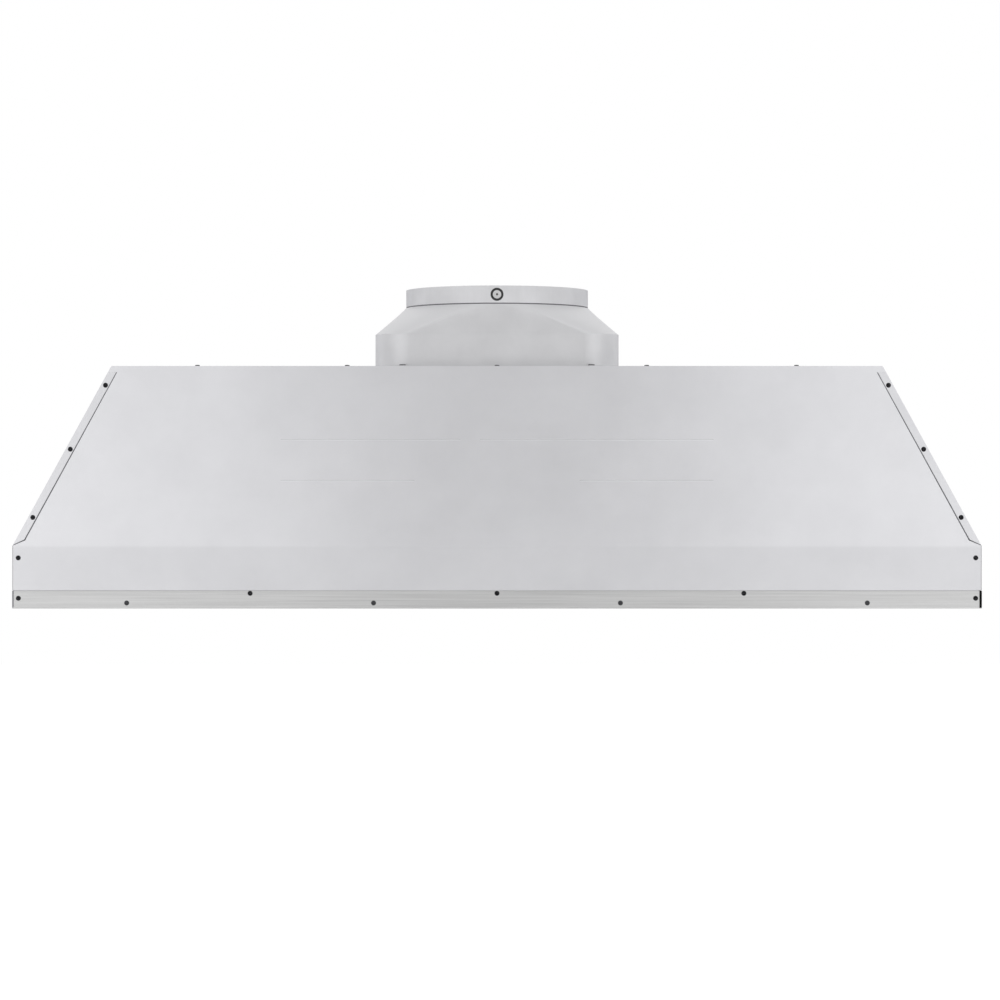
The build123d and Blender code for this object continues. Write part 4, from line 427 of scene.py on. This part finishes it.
# %% Non-metals from one table
PIT_DEPTH = 0.0002   # m
MOTTLE = 14.0        # patches of dust are so many times as wide as the pits
COATED = [
    # name, dark and light tone, least and most roughness, pit in mm, bump, IOR, nodes
    ("Glass_filled_nylon", ("#1B1B1C", "#262627"), (0.52, 0.68), 0.9, 0.25, 1.53,
     ("damper_bush_rear", "damper_bush_front", "cable_bush", "cable_clips", "switch_box")),
    ("EPDM_rubber", ("#161616", "#222221"), (0.70, 0.88), 2.0, 0.20, 1.52, ("damper_seal",)),
    ("Stoved_black_paint", ("#232427", "#2F3034"), (0.34, 0.48), 1.6, 0.18, 1.50, ("impeller",)),
    ("Motor_enamel", ("#3A3C40", "#464A4E"), (0.36, 0.52), 2.2, 0.22, 1.52, ("motor",)),
    ("Polypropylene_case", ("#D6D4CC", "#E2E0D8"), (0.38, 0.50), 4.0, 0.10, 1.49, ("capacitor",)),
    ("PVC_sheath", ("#2A2A2B", "#363637"), (0.42, 0.55), 1.2, 0.15, 1.53,
     ("motor_cable", "switch_cable", "left_lamp_cable", "right_lamp_cable")),
]
for name, tones, wear, pit, bump, ior, carriers in COATED:
    material = mottled_finish(name, tones, wear, pit * MOTTLE, pit, (bump, PIT_DEPTH), {"IOR": ior})
    for part in carriers:
        finishes[part] = material
    print(name, "on", carriers)

# %% [markdown]
# ## Frosted lamp lenses
# The lens is pressed glass, frosted inside so that the diodes behind it don't dazzle. It passes light but no
# picture: a little over half of the light goes through, with a fair roughness, the frosting throws the rest
# back, and the small prisms of the pressing are a bump.

# %% The lenses
PRISM = 2.4              # mm, pitch of the pressed prisms
PRISM_RELIEF = 0.0004    # m, their depth
HAZE_PATCH = 12.0        # mm, patches of the frosting
HAZE_ROUGH = (0.30, 0.42)
material, tree, place = start_finish("Frosted_pressed_glass")
prism = add_node(tree, "ShaderNodeTexVoronoi",
                 {"Vector": place, "Scale": per_mm(PRISM), "Randomness": 0.15}, feature="SMOOTH_F1")
relief = add_node(tree, "ShaderNodeBump",
                  {"Height": prism.outputs["Distance"], "Strength": 0.35, "Distance": PRISM_RELIEF})
haze = add_node(tree, "ShaderNodeTexNoise", {"Vector": place, "Scale": per_mm(HAZE_PATCH), "Detail": 2.0})
rough = add_node(tree, "ShaderNodeMapRange",
                 {"Value": haze.outputs["Fac"], "To Min": HAZE_ROUGH[0], "To Max": HAZE_ROUGH[1]})
glass = add_node(tree, "ShaderNodeBsdfPrincipled",
                 {"Base Color": linear("#F3F2EC"), "Roughness": rough.outputs["Result"], "IOR": 1.52,
                  "Transmission Weight": 0.55, "Normal": relief.outputs[0]})
close_finish(tree, glass)
for side in ("left", "right"):
    finishes[side + "_lamp_lens"] = material
print(material.name, "prisms are", PRISM, "mm")

# %% [markdown]
# ## Circuit board
# The switch board is glass-epoxy laminate under green solder mask. Copper tracks lie under the mask and lift
# it a little, so a brick pattern with wide joints stands for them in colour and in height.

# %% The switch board
TRACK = 4.0              # mm, spacing of the tracks
TRACK_RELIEF = 0.0001    # m, their thickness under the mask
material, tree, place = start_finish("Glass_epoxy_laminate")
turned = add_node(tree, "ShaderNodeMapping", {"Vector": place, "Rotation": (math.radians(90), 0.0, 0.0)})
tracks = add_node(tree, "ShaderNodeTexBrick",
                  {"Vector": turned.outputs[0], "Scale": per_mm(TRACK), "Color1": linear("#1D4A2C"),
                   "Color2": linear("#21532F"), "Mortar": linear("#2F6B3C"), "Mortar Size": 0.06,
                   "Brick Width": 2.6, "Row Height": 0.7})
relief = add_node(tree, "ShaderNodeBump",
                  {"Height": tracks.outputs["Fac"], "Strength": 0.3, "Distance": TRACK_RELIEF})
board = add_node(tree, "ShaderNodeBsdfPrincipled",
                 {"Base Color": tracks.outputs["Color"], "Roughness": 0.38, "IOR": 1.55,
                  "Normal": relief.outputs[0]})
close_finish(tree, board)
finishes["switch_board"] = material
print(material.name, "tracks every", TRACK, "mm")

# %% [markdown]
# ## Turned buttons
# Each button's cap is turned on a lathe, so its face carries rings about its own axis and a highlight shaped
# like a bow tie. The buttons stand 30 mm apart on one line, so folding the X coordinate at that pitch puts
# every button at its own centre, and one finish serves all five.

# %% The buttons
BUTTON_PITCH = 0.030      # m
BUTTON_LINE = 0.044       # m, height of the buttons' axes
BUTTON_TONES = ("#BBBBBD", "#CCCCCE")
BUTTON_ROUGH = (0.22, 0.34)
TURNING = 0.9             # mm between rings; a lathe leaves 0.1 mm, drawn wider so that it shows
OFF_AXIS = 0.0005         # m, keeps the tangent from vanishing at a button's centre
material, tree, place = start_finish("Turned_stainless")
apart = add_node(tree, "ShaderNodeSeparateXYZ", {"Vector": place})
fold = add_node(tree, "ShaderNodeMath",
                {0: apart.outputs["X"], 1: -BUTTON_PITCH / 2, 2: BUTTON_PITCH / 2}, operation="WRAP")
lift = add_node(tree, "ShaderNodeMath", {0: apart.outputs["Z"], 1: BUTTON_LINE}, operation="SUBTRACT")
down = add_node(tree, "ShaderNodeMath", {0: lift.outputs[0], 1: -1.0}, operation="MULTIPLY")
round_axis = add_node(tree, "ShaderNodeCombineXYZ",
                      {"X": down.outputs[0], "Y": OFF_AXIS, "Z": fold.outputs[0]})
tangent = add_node(tree, "ShaderNodeVectorTransform", {"Vector": round_axis.outputs[0]}, **TO_WORLD)
radius = add_node(tree, "ShaderNodeVectorMath", {0: round_axis.outputs[0]}, operation="LENGTH")
rings = add_node(tree, "ShaderNodeTexNoise",
                 {"W": radius.outputs["Value"], "Scale": per_mm(TURNING), "Detail": 2.0},
                 noise_dimensions="1D")
colour = add_node(tree, "ShaderNodeValToRGB", {"Fac": rings.outputs["Fac"]}, zip(NOISE_ENDS, BUTTON_TONES))
rough = add_node(tree, "ShaderNodeMapRange",
                 {"Value": rings.outputs["Fac"], "To Min": BUTTON_ROUGH[0], "To Max": BUTTON_ROUGH[1]})
metal = add_node(tree, "ShaderNodeBsdfPrincipled",
                 {"Base Color": colour.outputs["Color"], "Metallic": 1.0, "Roughness": rough.outputs["Result"],
                  "Anisotropic": 0.7, "Anisotropic Rotation": ACROSS_GRAIN, "Tangent": tangent.outputs[0]})
close_finish(tree, metal)
for job in ("power", "low", "medium", "high", "lamp"):
    finishes[job + "_button"] = material
print(material.name, "rings every", TURNING, "mm")

# %% [markdown]
# ## Black screws
# The screws are steel, blackened in a hot salt bath. The oxide is thin and wears through on the head's edge
# and in the recess, so the tone varies from nearly black to a dull grey. The rows that hands and tools brush
# past, on top and along the pan's lower edge, are rubbed paler, so the same tree is made twice and the paler
# tone also starts below a height.

# %% The screws
OXIDE_WEAR = 1.5            # mm, size of a rubbed spot
OXIDE_ENDS = (0.45, 0.80)   # wear at which the dark and the light tone stand
OXIDE_ROUGH = (0.50, 0.32)  # whole and rubbed
RUBBED_ROW = 0.009          # m, heads below this height are rubbed
RUBBED_WEAR = 0.35          # wear that this adds
BLACKENED = [
    # name, dark and light tone, nodes
    ("Black_oxide_steel", ("#1F1F21", "#4A4A4D"), ("back_screws", "blower_screws")),
    ("Rubbed_oxide_steel", ("#5E5E61", "#8A8A8D"), ("top_screws", "transition_screws")),
]
for name, tones, groups in BLACKENED:
    material, tree, place = start_finish(name)
    wear = add_node(tree, "ShaderNodeTexNoise", {"Vector": place, "Scale": per_mm(OXIDE_WEAR), "Detail": 3.0})
    height = add_node(tree, "ShaderNodeSeparateXYZ", {"Vector": place})
    rubbed = add_node(tree, "ShaderNodeMath", {0: height.outputs["Z"], 1: RUBBED_ROW}, operation="LESS_THAN")
    bare = add_node(tree, "ShaderNodeMath", {0: rubbed.outputs[0], 1: RUBBED_WEAR, 2: wear.outputs["Fac"]},
                    operation="MULTIPLY_ADD")
    colour = add_node(tree, "ShaderNodeValToRGB", {"Fac": bare.outputs[0]}, zip(OXIDE_ENDS, tones))
    rough = add_node(tree, "ShaderNodeMapRange",
                     {"Value": wear.outputs["Fac"], "To Min": OXIDE_ROUGH[0], "To Max": OXIDE_ROUGH[1]})
    metal = add_node(tree, "ShaderNodeBsdfPrincipled",
                     {"Base Color": colour.outputs["Color"], "Metallic": 0.9,
                      "Roughness": rough.outputs["Result"]})
    close_finish(tree, metal)
    for group in groups:
        finishes[group] = material
    print(name, "on", groups)

# %% [markdown]
# ## Put the finishes on
# Each CAD node came in with one material slot, which now gets the new finish.

# %% Hand every node its finish
for name, node in nodes.items():
    node.material_slots[0].material = finishes[name]
print("finished", len(finishes), "of", len(nodes), "nodes")

# %% [markdown]
# ## Painted shadow and shade in the seams
# Where the side panels lap over the back, a grey bead in the groove is painted shadow, and it reads as a
# thin dark line. A ring of it paints the shadow line between the transition and the collar, thin dark strips
# paint shade on the cut ends of the rim and on the skirt's edges, and the top of each lap is closed with metal.
# A dark plug in each of the axle's centre holes is painted shade. All this is thin trim, so it is laid here as
# small swept and turned meshes from the sizes of the folds it sits in.

# %% The finishes of the painted shadow and shade
DIMPLE = 1.2                    # mm, dimples in the soft surface
DIMPLE_RELIEF = (0.3, 0.0002)   # strength, and depth in m
PAINTED_SHADE_MARKS = [
    # name, dark and light tone, least and most roughness, specular level
    ("Painted_shadow_bead", ("#68686C", "#747478"), (0.55, 0.70), 0.35),
    ("Black_painted_shadow_strip", ("#050505", "#0C0C0C"), (0.75, 0.90), 0.08),
    ("Grey_painted_shade_strip", ("#828286", "#8E8E92"), (0.60, 0.75), 0.40),
    ("Hole_painted_shade", ("#454440", "#55544F"), (0.30, 0.45), 0.50),
]
painted_shade_marks = {}
for name, tones, wear, gloss in PAINTED_SHADE_MARKS:
    painted_shade_marks[name] = mottled_finish(name, tones, wear, DIMPLE, DIMPLE, DIMPLE_RELIEF,
                                    {"IOR": 1.52, "Specular IOR Level": gloss}, detail=2.0)
print("sealants:", sorted(painted_shade_marks))

# %% A mesh set into the scene, and a bar swept along points
def place_mesh(name, shape):
    """The object of a finished mesh, with its faces turned outward."""
    bmesh.ops.recalc_face_normals(shape, faces=shape.faces)
    mesh = bpy.data.meshes.new(name)
    shape.to_mesh(mesh)
    shape.free()
    piece = bpy.data.objects.new(name, mesh)
    bpy.context.scene.collection.objects.link(piece)
    return piece


def sweep_flat(name, path, half_width, front, back):
    """A flat bead along (x, z) points in millimetres, between two depths."""
    shape = bmesh.new()
    rows = []
    for i, point in enumerate(path):
        before = Vector(path[max(i - 1, 0)])
        after = Vector(path[min(i + 1, len(path) - 1)])
        run = (after - before).normalized()
        aside = Vector((-run.y, run.x)) * half_width
        corners = [(Vector(point) + aside, front), (Vector(point) - aside, front),
                   (Vector(point) - aside, back), (Vector(point) + aside, back)]
        rows.append([shape.verts.new((flat.x / MM, y / MM, flat.y / MM)) for flat, y in corners])
    for row, following in zip(rows, rows[1:]):
        for k in range(4):
            shape.faces.new((row[k], row[(k + 1) % 4], following[(k + 1) % 4], following[k]))
    shape.faces.new(rows[0][::-1])
    shape.faces.new(rows[-1])
    return place_mesh(name, shape)


WALL_FACE = -251.0   # mm, outer face of the back panel
print("the wall side's face is at y", WALL_FACE, "mm")

# %% Beads of painted shadow in the lap grooves
BEAD_HALF = 0.43     # mm, half the width of the groove
BEAD_SUNK = 0.25     # mm, bead below the sheet's face
BEAD_ROOT = 0.95     # mm, foot of the bead below that face
LAP_LINE = [(404.4, 250.9), (499.6, 77.8), (501.2, 75.0), (503.2, 73.0), (506.5, 71.3), (514.3, 67.7)]   # mm
for side, sign in (("left", -1.0), ("right", 1.0)):
    bead = sweep_flat(side + "_lap_shadow_bead", [(sign * x, z) for x, z in LAP_LINE], BEAD_HALF,
                      WALL_FACE + BEAD_SUNK, WALL_FACE + BEAD_ROOT)
    bead.data.materials.append(painted_shade_marks["Painted_shadow_bead"])
    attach(bead, "hood")
    print(bead.name, "runs over", len(LAP_LINE), "points")

# %% The ring of painted shadow in the collar's seam
DUCT_AXIS = (0.0, -121.0)              # mm
SEAM_LOW, SEAM_HIGH = 325.85, 327.05   # mm, between the neck and the collar
SEAM_INNER, SEAM_OUTER = 99.25, 99.8   # mm, radii
RING_STEPS = 144
shape = bmesh.new()
turns = []
for i in range(RING_STEPS):
    angle = 2 * math.pi * i / RING_STEPS
    turns.append([shape.verts.new(((DUCT_AXIS[0] + r * math.sin(angle)) / MM,
                                   (DUCT_AXIS[1] - r * math.cos(angle)) / MM, z / MM))
                  for r, z in ((SEAM_OUTER, SEAM_LOW), (SEAM_OUTER, SEAM_HIGH),
                               (SEAM_INNER, SEAM_HIGH), (SEAM_INNER, SEAM_LOW))])
for i, row in enumerate(turns):
    following = turns[(i + 1) % RING_STEPS]
    for k in range(4):
        shape.faces.new((row[k], following[k], following[(k + 1) % 4], row[(k + 1) % 4]))
shadow_ring = place_mesh("collar_shadow_ring", shape)
shadow_ring.data.materials.append(painted_shade_marks["Painted_shadow_bead"])
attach(shadow_ring, "hood")
print(shadow_ring.name, "has", len(shadow_ring.data.polygons), "faces")

# %% Strips of painted shade and shadow on the cut edges, closed lap tops
EDGE_STRIPS = [
    # name, two ends as (x, z) in mm, half width, depths of its two faces behind the wall face, finish, slot
    # the rim's end strips and the skirt's edge strips are painted shade; the right rim end's black one is a
    # painted shadow
    ("left_rim_end_shade_strip", [(-514.75, 1.2), (-514.75, 18.9)], 0.7, 0.4, 1.0,
     painted_shade_marks["Grey_painted_shade_strip"], "seal_rubber"),
    ("right_rim_end_shadow_strip", [(514.3, 0.9), (514.3, 18.97)], 1.2, 0.3, 1.0,
     painted_shade_marks["Black_painted_shadow_strip"], "seal_rubber"),
    ("left_skirt_edge_shade_strip", [(-514.8, 19.4), (-514.8, 67.2)], 0.3, 0.05, 0.8,
     painted_shade_marks["Grey_painted_shade_strip"], "seal_rubber"),
    ("right_skirt_edge_shade_strip", [(514.8, 19.4), (514.8, 67.2)], 0.3, 0.05, 0.8,
     painted_shade_marks["Grey_painted_shade_strip"], "seal_rubber"),
    ("left_lap_top_weld", [(-413.7, 251.08), (-405.0, 251.08)], 0.1, 0.0, 0.7, satin_across, "casing_steel"),
    ("right_lap_top_weld", [(405.0, 251.08), (413.7, 251.08)], 0.1, 0.0, 0.7, satin_across, "casing_steel"),
]
for name, line, half_width, face, root, finish, slot in EDGE_STRIPS:
    strip = sweep_flat(name, line, half_width, WALL_FACE + face, WALL_FACE + root)
    strip.data.materials.append(finish)
    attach(strip, "hood")
    print(name, "from", line[0], "to", line[1])

# %% Painted shade in the axle's centre holes
AXLE_LINE = 336.0      # mm, height of the damper's axle
HOLE_RADIUS = 1.1      # mm, of the painted shade in the hole
HOLE_STEPS = 24
SHADE_RIM, SHADE_DIP, SHADE_FOOT = 0.3, 0.55, 1.69   # mm in from the axle's end
AXLE_ENDS = [
    # name, y of the axle's end in mm, way inward
    ("rear_axle_hole_shade", -221.0, 1.0),
    ("front_axle_hole_shade", -21.0, -1.0),
]
for name, end, inward in AXLE_ENDS:
    shape = bmesh.new()
    rim = [shape.verts.new((HOLE_RADIUS * math.cos(2 * math.pi * i / HOLE_STEPS) / MM,
                            (end + inward * SHADE_RIM) / MM,
                            (AXLE_LINE + HOLE_RADIUS * math.sin(2 * math.pi * i / HOLE_STEPS)) / MM))
           for i in range(HOLE_STEPS)]
    foot = [shape.verts.new((v.co.x, (end + inward * SHADE_FOOT) / MM, v.co.z)) for v in rim]
    dip = shape.verts.new((0.0, (end + inward * SHADE_DIP) / MM, AXLE_LINE / MM))
    for i in range(HOLE_STEPS):
        k = (i + 1) % HOLE_STEPS
        shape.faces.new((rim[i], rim[k], dip))
        shape.faces.new((rim[i], foot[i], foot[k], rim[k]))
    shape.faces.new(foot)
    hole_shade = place_mesh(name, shape)
    hole_shade.data.materials.append(painted_shade_marks["Hole_painted_shade"])
    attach(hole_shade, "hood")
    print(name, "at y", end, "mm")

# %% [markdown]
# ## Marks on the buttons
# Each button says what it does with a plain sign: a broken ring with a stroke for power, one to three bars for
# the fan's speeds, a disc with rays for the lamps. On the real part they are filled with dark paint. Here they
# are thin raised plates, because an outline drawn as a mesh stays sharp from any distance.

# %% Outlines of the signs
def bar(x, z, wide, tall, turn=0.0):
    """Corners of a bar about its centre, in millimetres."""
    c, s = math.cos(turn), math.sin(turn)
    u, v = wide / 2, tall / 2
    return [(x + c * a - s * b, z + s * a + c * b) for a, b in ((-u, -v), (u, -v), (u, v), (-u, v))]


def arc_band(radius, thick, start, end, steps=28):
    """Corners of a curved band about the origin, from one angle in degrees to another."""
    angles = [math.radians(start + (end - start) * i / steps) for i in range(steps + 1)]
    outer, inner = radius + thick / 2, radius - thick / 2
    return ([(outer * math.cos(a), outer * math.sin(a)) for a in angles]
            + [(inner * math.cos(a), inner * math.sin(a)) for a in reversed(angles)])


STROKE = 0.75                             # mm, width of the power sign's ring and stroke
POWER_RADIUS = 2.6                        # mm, middle of the ring
POWER_START, POWER_END = 125.0, 415.0     # degrees, open at the top
POWER_MIDDLE, POWER_LENGTH = 2.1, 2.8     # mm, of the stroke
SPEED_BAR = (5.0, 0.9)                    # mm, width and height of a bar
SPEED_PITCH = 2.0                         # mm from bar to bar
DISC_RADIUS, DISC_STEPS = 1.5, 24         # mm, the lamp's disc
RAY_RADIUS, RAY_COUNT = 2.75, 8           # mm, middle of the lamp's rays
RAY = (1.1, 0.55)                         # mm, length and width of a ray


def speed_bars(count):
    """So many bars above each other, from the top."""
    return [bar(0.0, SPEED_PITCH * ((count - 1) / 2 - i), *SPEED_BAR) for i in range(count)]


disc_angles = [math.radians(360 / DISC_STEPS * i) for i in range(DISC_STEPS)]
ray_angles = [math.radians(360 / RAY_COUNT * i) for i in range(RAY_COUNT)]
disc = [(DISC_RADIUS * math.cos(a), DISC_RADIUS * math.sin(a)) for a in disc_angles]
rays = [bar(RAY_RADIUS * math.cos(a), RAY_RADIUS * math.sin(a), *RAY, a) for a in ray_angles]
SIGNS = {
    "power": [arc_band(POWER_RADIUS, STROKE, POWER_START, POWER_END),
              bar(0.0, POWER_MIDDLE, STROKE, POWER_LENGTH)],
    "low": speed_bars(1),
    "medium": speed_bars(2),
    "high": speed_bars(3),
    "lamp": [disc] + rays,
}
print("signs:", {job: len(parts) for job, parts in SIGNS.items()})

# %% The signs' paint
PAINT_TONES = ("#2C2D30", "#3A3B3E")
PAINT_ROUGH = (0.38, 0.52)
PAINT_MARK = 0.8   # mm, flecks in the paint
sign_paint, tree, place = start_finish("Filled_sign_paint")
fleck = add_node(tree, "ShaderNodeTexNoise", {"Vector": place, "Scale": per_mm(PAINT_MARK), "Detail": 2.0})
colour = add_node(tree, "ShaderNodeValToRGB", {"Fac": fleck.outputs["Fac"]}, zip(FULL_ENDS, PAINT_TONES))
rough = add_node(tree, "ShaderNodeMapRange",
                 {"Value": fleck.outputs["Fac"], "To Min": PAINT_ROUGH[0], "To Max": PAINT_ROUGH[1]})
paint = add_node(tree, "ShaderNodeBsdfPrincipled",
                 {"Base Color": colour.outputs["Color"], "Roughness": rough.outputs["Result"], "IOR": 1.5})
close_finish(tree, paint)
print(sign_paint.name, "flecks are", PAINT_MARK, "mm")

# %% The signs' plates
SIGN_SUNK, SIGN_PROUD = 0.05, 0.04   # mm, below and above the button's face
for job, outlines in SIGNS.items():
    low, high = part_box(job + "_button")
    middle = ((low.x + high.x) / 2, high.y, (low.z + high.z) / 2)
    shape = bmesh.new()
    for outline in outlines:
        under = [shape.verts.new((middle[0] + x / MM, middle[1] - SIGN_SUNK / MM, middle[2] + z / MM))
                 for x, z in outline]
        over = [shape.verts.new((v.co.x, middle[1] + SIGN_PROUD / MM, v.co.z)) for v in under]
        count = len(outline)
        shape.faces.new(over)
        shape.faces.new(under[::-1])
        for i in range(count):
            shape.faces.new((under[i], under[(i + 1) % count], over[(i + 1) % count], over[i]))
    bmesh.ops.triangulate(shape, faces=shape.faces)
    sign = place_mesh(job + "_sign", shape)
    sign.data.materials.append(sign_paint)
    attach(sign, job + "_button")
    print(sign.name, "has", len(outlines), "strokes")

# %% [markdown]
# ## The studio
# The hood hangs over a pale floor at the height of a hood over its worktop, so that the filters have room to
# swing down. Two large softboxes stand left and right of the camera, two more at the cook's side, and one
# overhead. The world is a white room. Camera, glossy and transmission rays see it at full white, and it lights
# matt surfaces with less, so that the lamps still shape them. The lamps reach the floor's middle best, so far
# from it the floor glows a little and stays white up to the horizon, while the hood's shadow in the middle
# stays as it is.

# %% World
FILL = 0.75   # share of the white room that falls on matt surfaces


def picture_rays(tree):
    """The light path, and 1 for the rays that make the picture: straight, mirrored or through glass."""
    path = add_node(tree, "ShaderNodeLightPath")
    seen = path.outputs["Is Camera Ray"]
    for ray in ("Is Glossy Ray", "Is Transmission Ray"):
        seen = add_node(tree, "ShaderNodeMath", {0: seen, 1: path.outputs[ray]}, operation="MAXIMUM").outputs[0]
    return path, seen


world = bpy.data.worlds.new("White_room")
bpy.context.scene.world = world
world.use_nodes = True
tree = world.node_tree
tree.nodes.clear()
_, seen = picture_rays(tree)
level = add_node(tree, "ShaderNodeMapRange", {"Value": seen, "To Min": FILL, "To Max": 1.0})
room = add_node(tree, "ShaderNodeBackground",
                {"Color": linear("#FFFFFF"), "Strength": level.outputs["Result"]})
add_node(tree, "ShaderNodeOutputWorld", {"Surface": room.outputs[0]})
bpy.context.scene.view_settings.view_transform = "Standard"
print("white room with", FILL, "fill")

# %% Floor
def flat_sheet(name, wide, deep, height=0.0):
    """A rectangle about the origin, at a height."""
    x, y = wide / 2, deep / 2
    mesh = bpy.data.meshes.new(name)
    mesh.from_pydata([(-x, -y, height), (x, -y, height), (x, y, height), (-x, y, height)], [], [(0, 1, 2, 3)])
    sheet = bpy.data.objects.new(name, mesh)
    bpy.context.scene.collection.objects.link(sheet)
    return sheet


FLOOR = -0.75        # m, below the pan
FLOOR_SIDE = 28.0    # m
NEAR_LIFT, FAR_LIFT = 0.08, 0.40     # glow in the picture, faint below the hood, more far off
LIFT_STARTS, LIFT_FULL = 1.3, 3.2    # m from the middle, between which the glow grows
floor = flat_sheet("floor", FLOOR_SIDE, FLOOR_SIDE, FLOOR)
floor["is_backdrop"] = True
material, tree, place = start_finish("Pale_studio_floor")
path, seen = picture_rays(tree)
away = add_node(tree, "ShaderNodeVectorMath", {0: place}, operation="LENGTH")
lift = add_node(tree, "ShaderNodeMapRange",
                {"Value": away.outputs["Value"], "From Min": LIFT_STARTS, "From Max": LIFT_FULL,
                 "To Min": NEAR_LIFT, "To Max": FAR_LIFT}, interpolation_type="SMOOTHSTEP")
level = add_node(tree, "ShaderNodeMath", {0: seen, 1: lift.outputs["Result"]}, operation="MULTIPLY")
matt = add_node(tree, "ShaderNodeBsdfDiffuse", {"Color": linear("#F2F2F2")})
glow = add_node(tree, "ShaderNodeEmission", {"Strength": level.outputs[0]})
pale = add_node(tree, "ShaderNodeAddShader", {0: matt.outputs[0], 1: glow.outputs[0]})
print("floor at", FLOOR, "m,", FLOOR_SIDE, "m wide")

# %% [markdown]
# From below, the floor would hide the hood, so a camera ray that meets it from behind goes through.

# %% Floor seen from below
facing = add_node(tree, "ShaderNodeNewGeometry")
below = add_node(tree, "ShaderNodeMath",
                 {0: facing.outputs["Backfacing"], 1: path.outputs["Is Camera Ray"]}, operation="MULTIPLY")
clear = add_node(tree, "ShaderNodeBsdfTransparent")
both = add_node(tree, "ShaderNodeMixShader", {0: below.outputs[0], 1: pale.outputs[0], 2: clear.outputs[0]})
close_finish(tree, both)
floor.data.materials.append(material)
print(material.name, "on", floor.name)

# %% Softboxes
SOFTBOXES = [
    # name, place in m, side in m, watts
    ("wall_left", (-2.7, -3.0, 1.1), 3.2, 20.0),
    ("wall_right", (2.7, -3.0, 1.1), 3.2, 20.0),
    ("cook_left", (-2.7, 3.0, 1.1), 3.2, 20.0),
    ("cook_right", (2.7, 3.0, 1.1), 3.2, 20.0),
    ("overhead", (0.0, 0.0, 3.2), 2.8, 24.0),
]
AIM = Vector((0.0, 0.0, 0.12))   # m, where the softboxes point
for name, spot, side, watts in SOFTBOXES:
    lamp = bpy.data.lights.new("softbox_" + name, "AREA")
    lamp.shape = "SQUARE"
    lamp.size = side
    lamp.energy = watts
    box = bpy.data.objects.new("softbox_" + name, lamp)
    box.location = spot
    box.rotation_euler = (AIM - Vector(spot)).to_track_quat("-Z", "Y").to_euler()
    box.visible_glossy = False
    bpy.context.scene.collection.objects.link(box)
print(len(SOFTBOXES), "softboxes")

# %% [markdown]
# Metal in a white room has nothing to show, so a photographer stands grey cards around it. One behind the
# camera makes the soft dark middle of the wall panel, others stand at the sides and at the cook's end, one
# hangs overhead for the slopes, one high behind the camera for the top, and one lies below, where the worktop
# would be. Only reflections see the cards: they are out of every picture and cast no shadow. The lamps stay
# out of the reflections, so that no sheet clips to white.

# %% Grey cards
CARDS = [
    # name, centre in m, width and height in m, grey tone
    ("wall_card", (0.0, -5.0, 0.9), (1.0, 3.2), 0.47),
    ("cook_card", (0.0, 5.0, -0.1), (4.0, 1.3), 0.70),
    ("left_card", (-4.75, -1.5, 1.2), (3.9, 4.0), 0.90),
    ("right_card", (4.75, -1.5, 1.2), (3.9, 4.0), 0.90),
    ("wall_sky_card", (0.0, -5.0, 4.6), (8.0, 2.8), 0.80),
    ("ceiling_card", (0.0, 0.4, 3.6), (9.0, 3.2), 0.66),
    ("worktop_card", (0.0, 0.5, -0.70), (4.0, 4.2), 0.72),
]
CARD_RING = 3.0   # m from the middle, beyond which a card stands upright
for name, centre, (wide, tall), tone in CARDS:
    card = flat_sheet(name, wide, tall)
    card.location = centre
    beside = math.hypot(centre[0], centre[1]) > CARD_RING
    inward = Vector((-centre[0], -centre[1], 0.0)) if beside else Vector((0.0, 0.0, -centre[2]))
    card.rotation_euler = inward.to_track_quat("Z", "Y").to_euler()
    card.visible_camera = card.visible_diffuse = card.visible_transmission = card.visible_shadow = False
    material, tree, _ = start_finish("Grey_card_" + name)
    close_finish(tree, add_node(tree, "ShaderNodeEmission", {"Strength": tone}))
    card.data.materials.append(material)
    card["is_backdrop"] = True
print(len(CARDS), "grey cards")

# %% [markdown]
# ## The camera
# The photograph is taken square on to the wall side, about 3.6 metres from the back panel and a little below
# the middle of the body: the collar's rim shows a slight arc, and that sets the distance and the height.

# %% Camera
CAMERA_PLACE = (0.0032, -3.871, 0.1155)   # m
CAMERA_LENS = 122.6                       # mm
CAMERA_SENSOR = 36.0                      # mm, width
LEVEL = math.radians(90.0)                # turns a camera up from straight down to level
view = bpy.data.cameras.new("photo_camera")
view.sensor_fit = "HORIZONTAL"
view.sensor_width = CAMERA_SENSOR
view.lens = CAMERA_LENS
camera = bpy.data.objects.new("photo_camera", view)
camera.location = CAMERA_PLACE
camera.rotation_euler = (LEVEL, 0.0, 0.0)
bpy.context.scene.collection.objects.link(camera)
bpy.context.scene.camera = camera
print("camera at", CAMERA_PLACE, "m with a", CAMERA_LENS, "mm lens")

# %% [markdown]
# ## The size at the end
# The size of the dressed hood, without the floor and the cards, is printed.

# %% Print the size
low, high = (Vector(corner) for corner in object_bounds())
print("visual box in mm:", [round(MM * side, 1) for side in high - low])
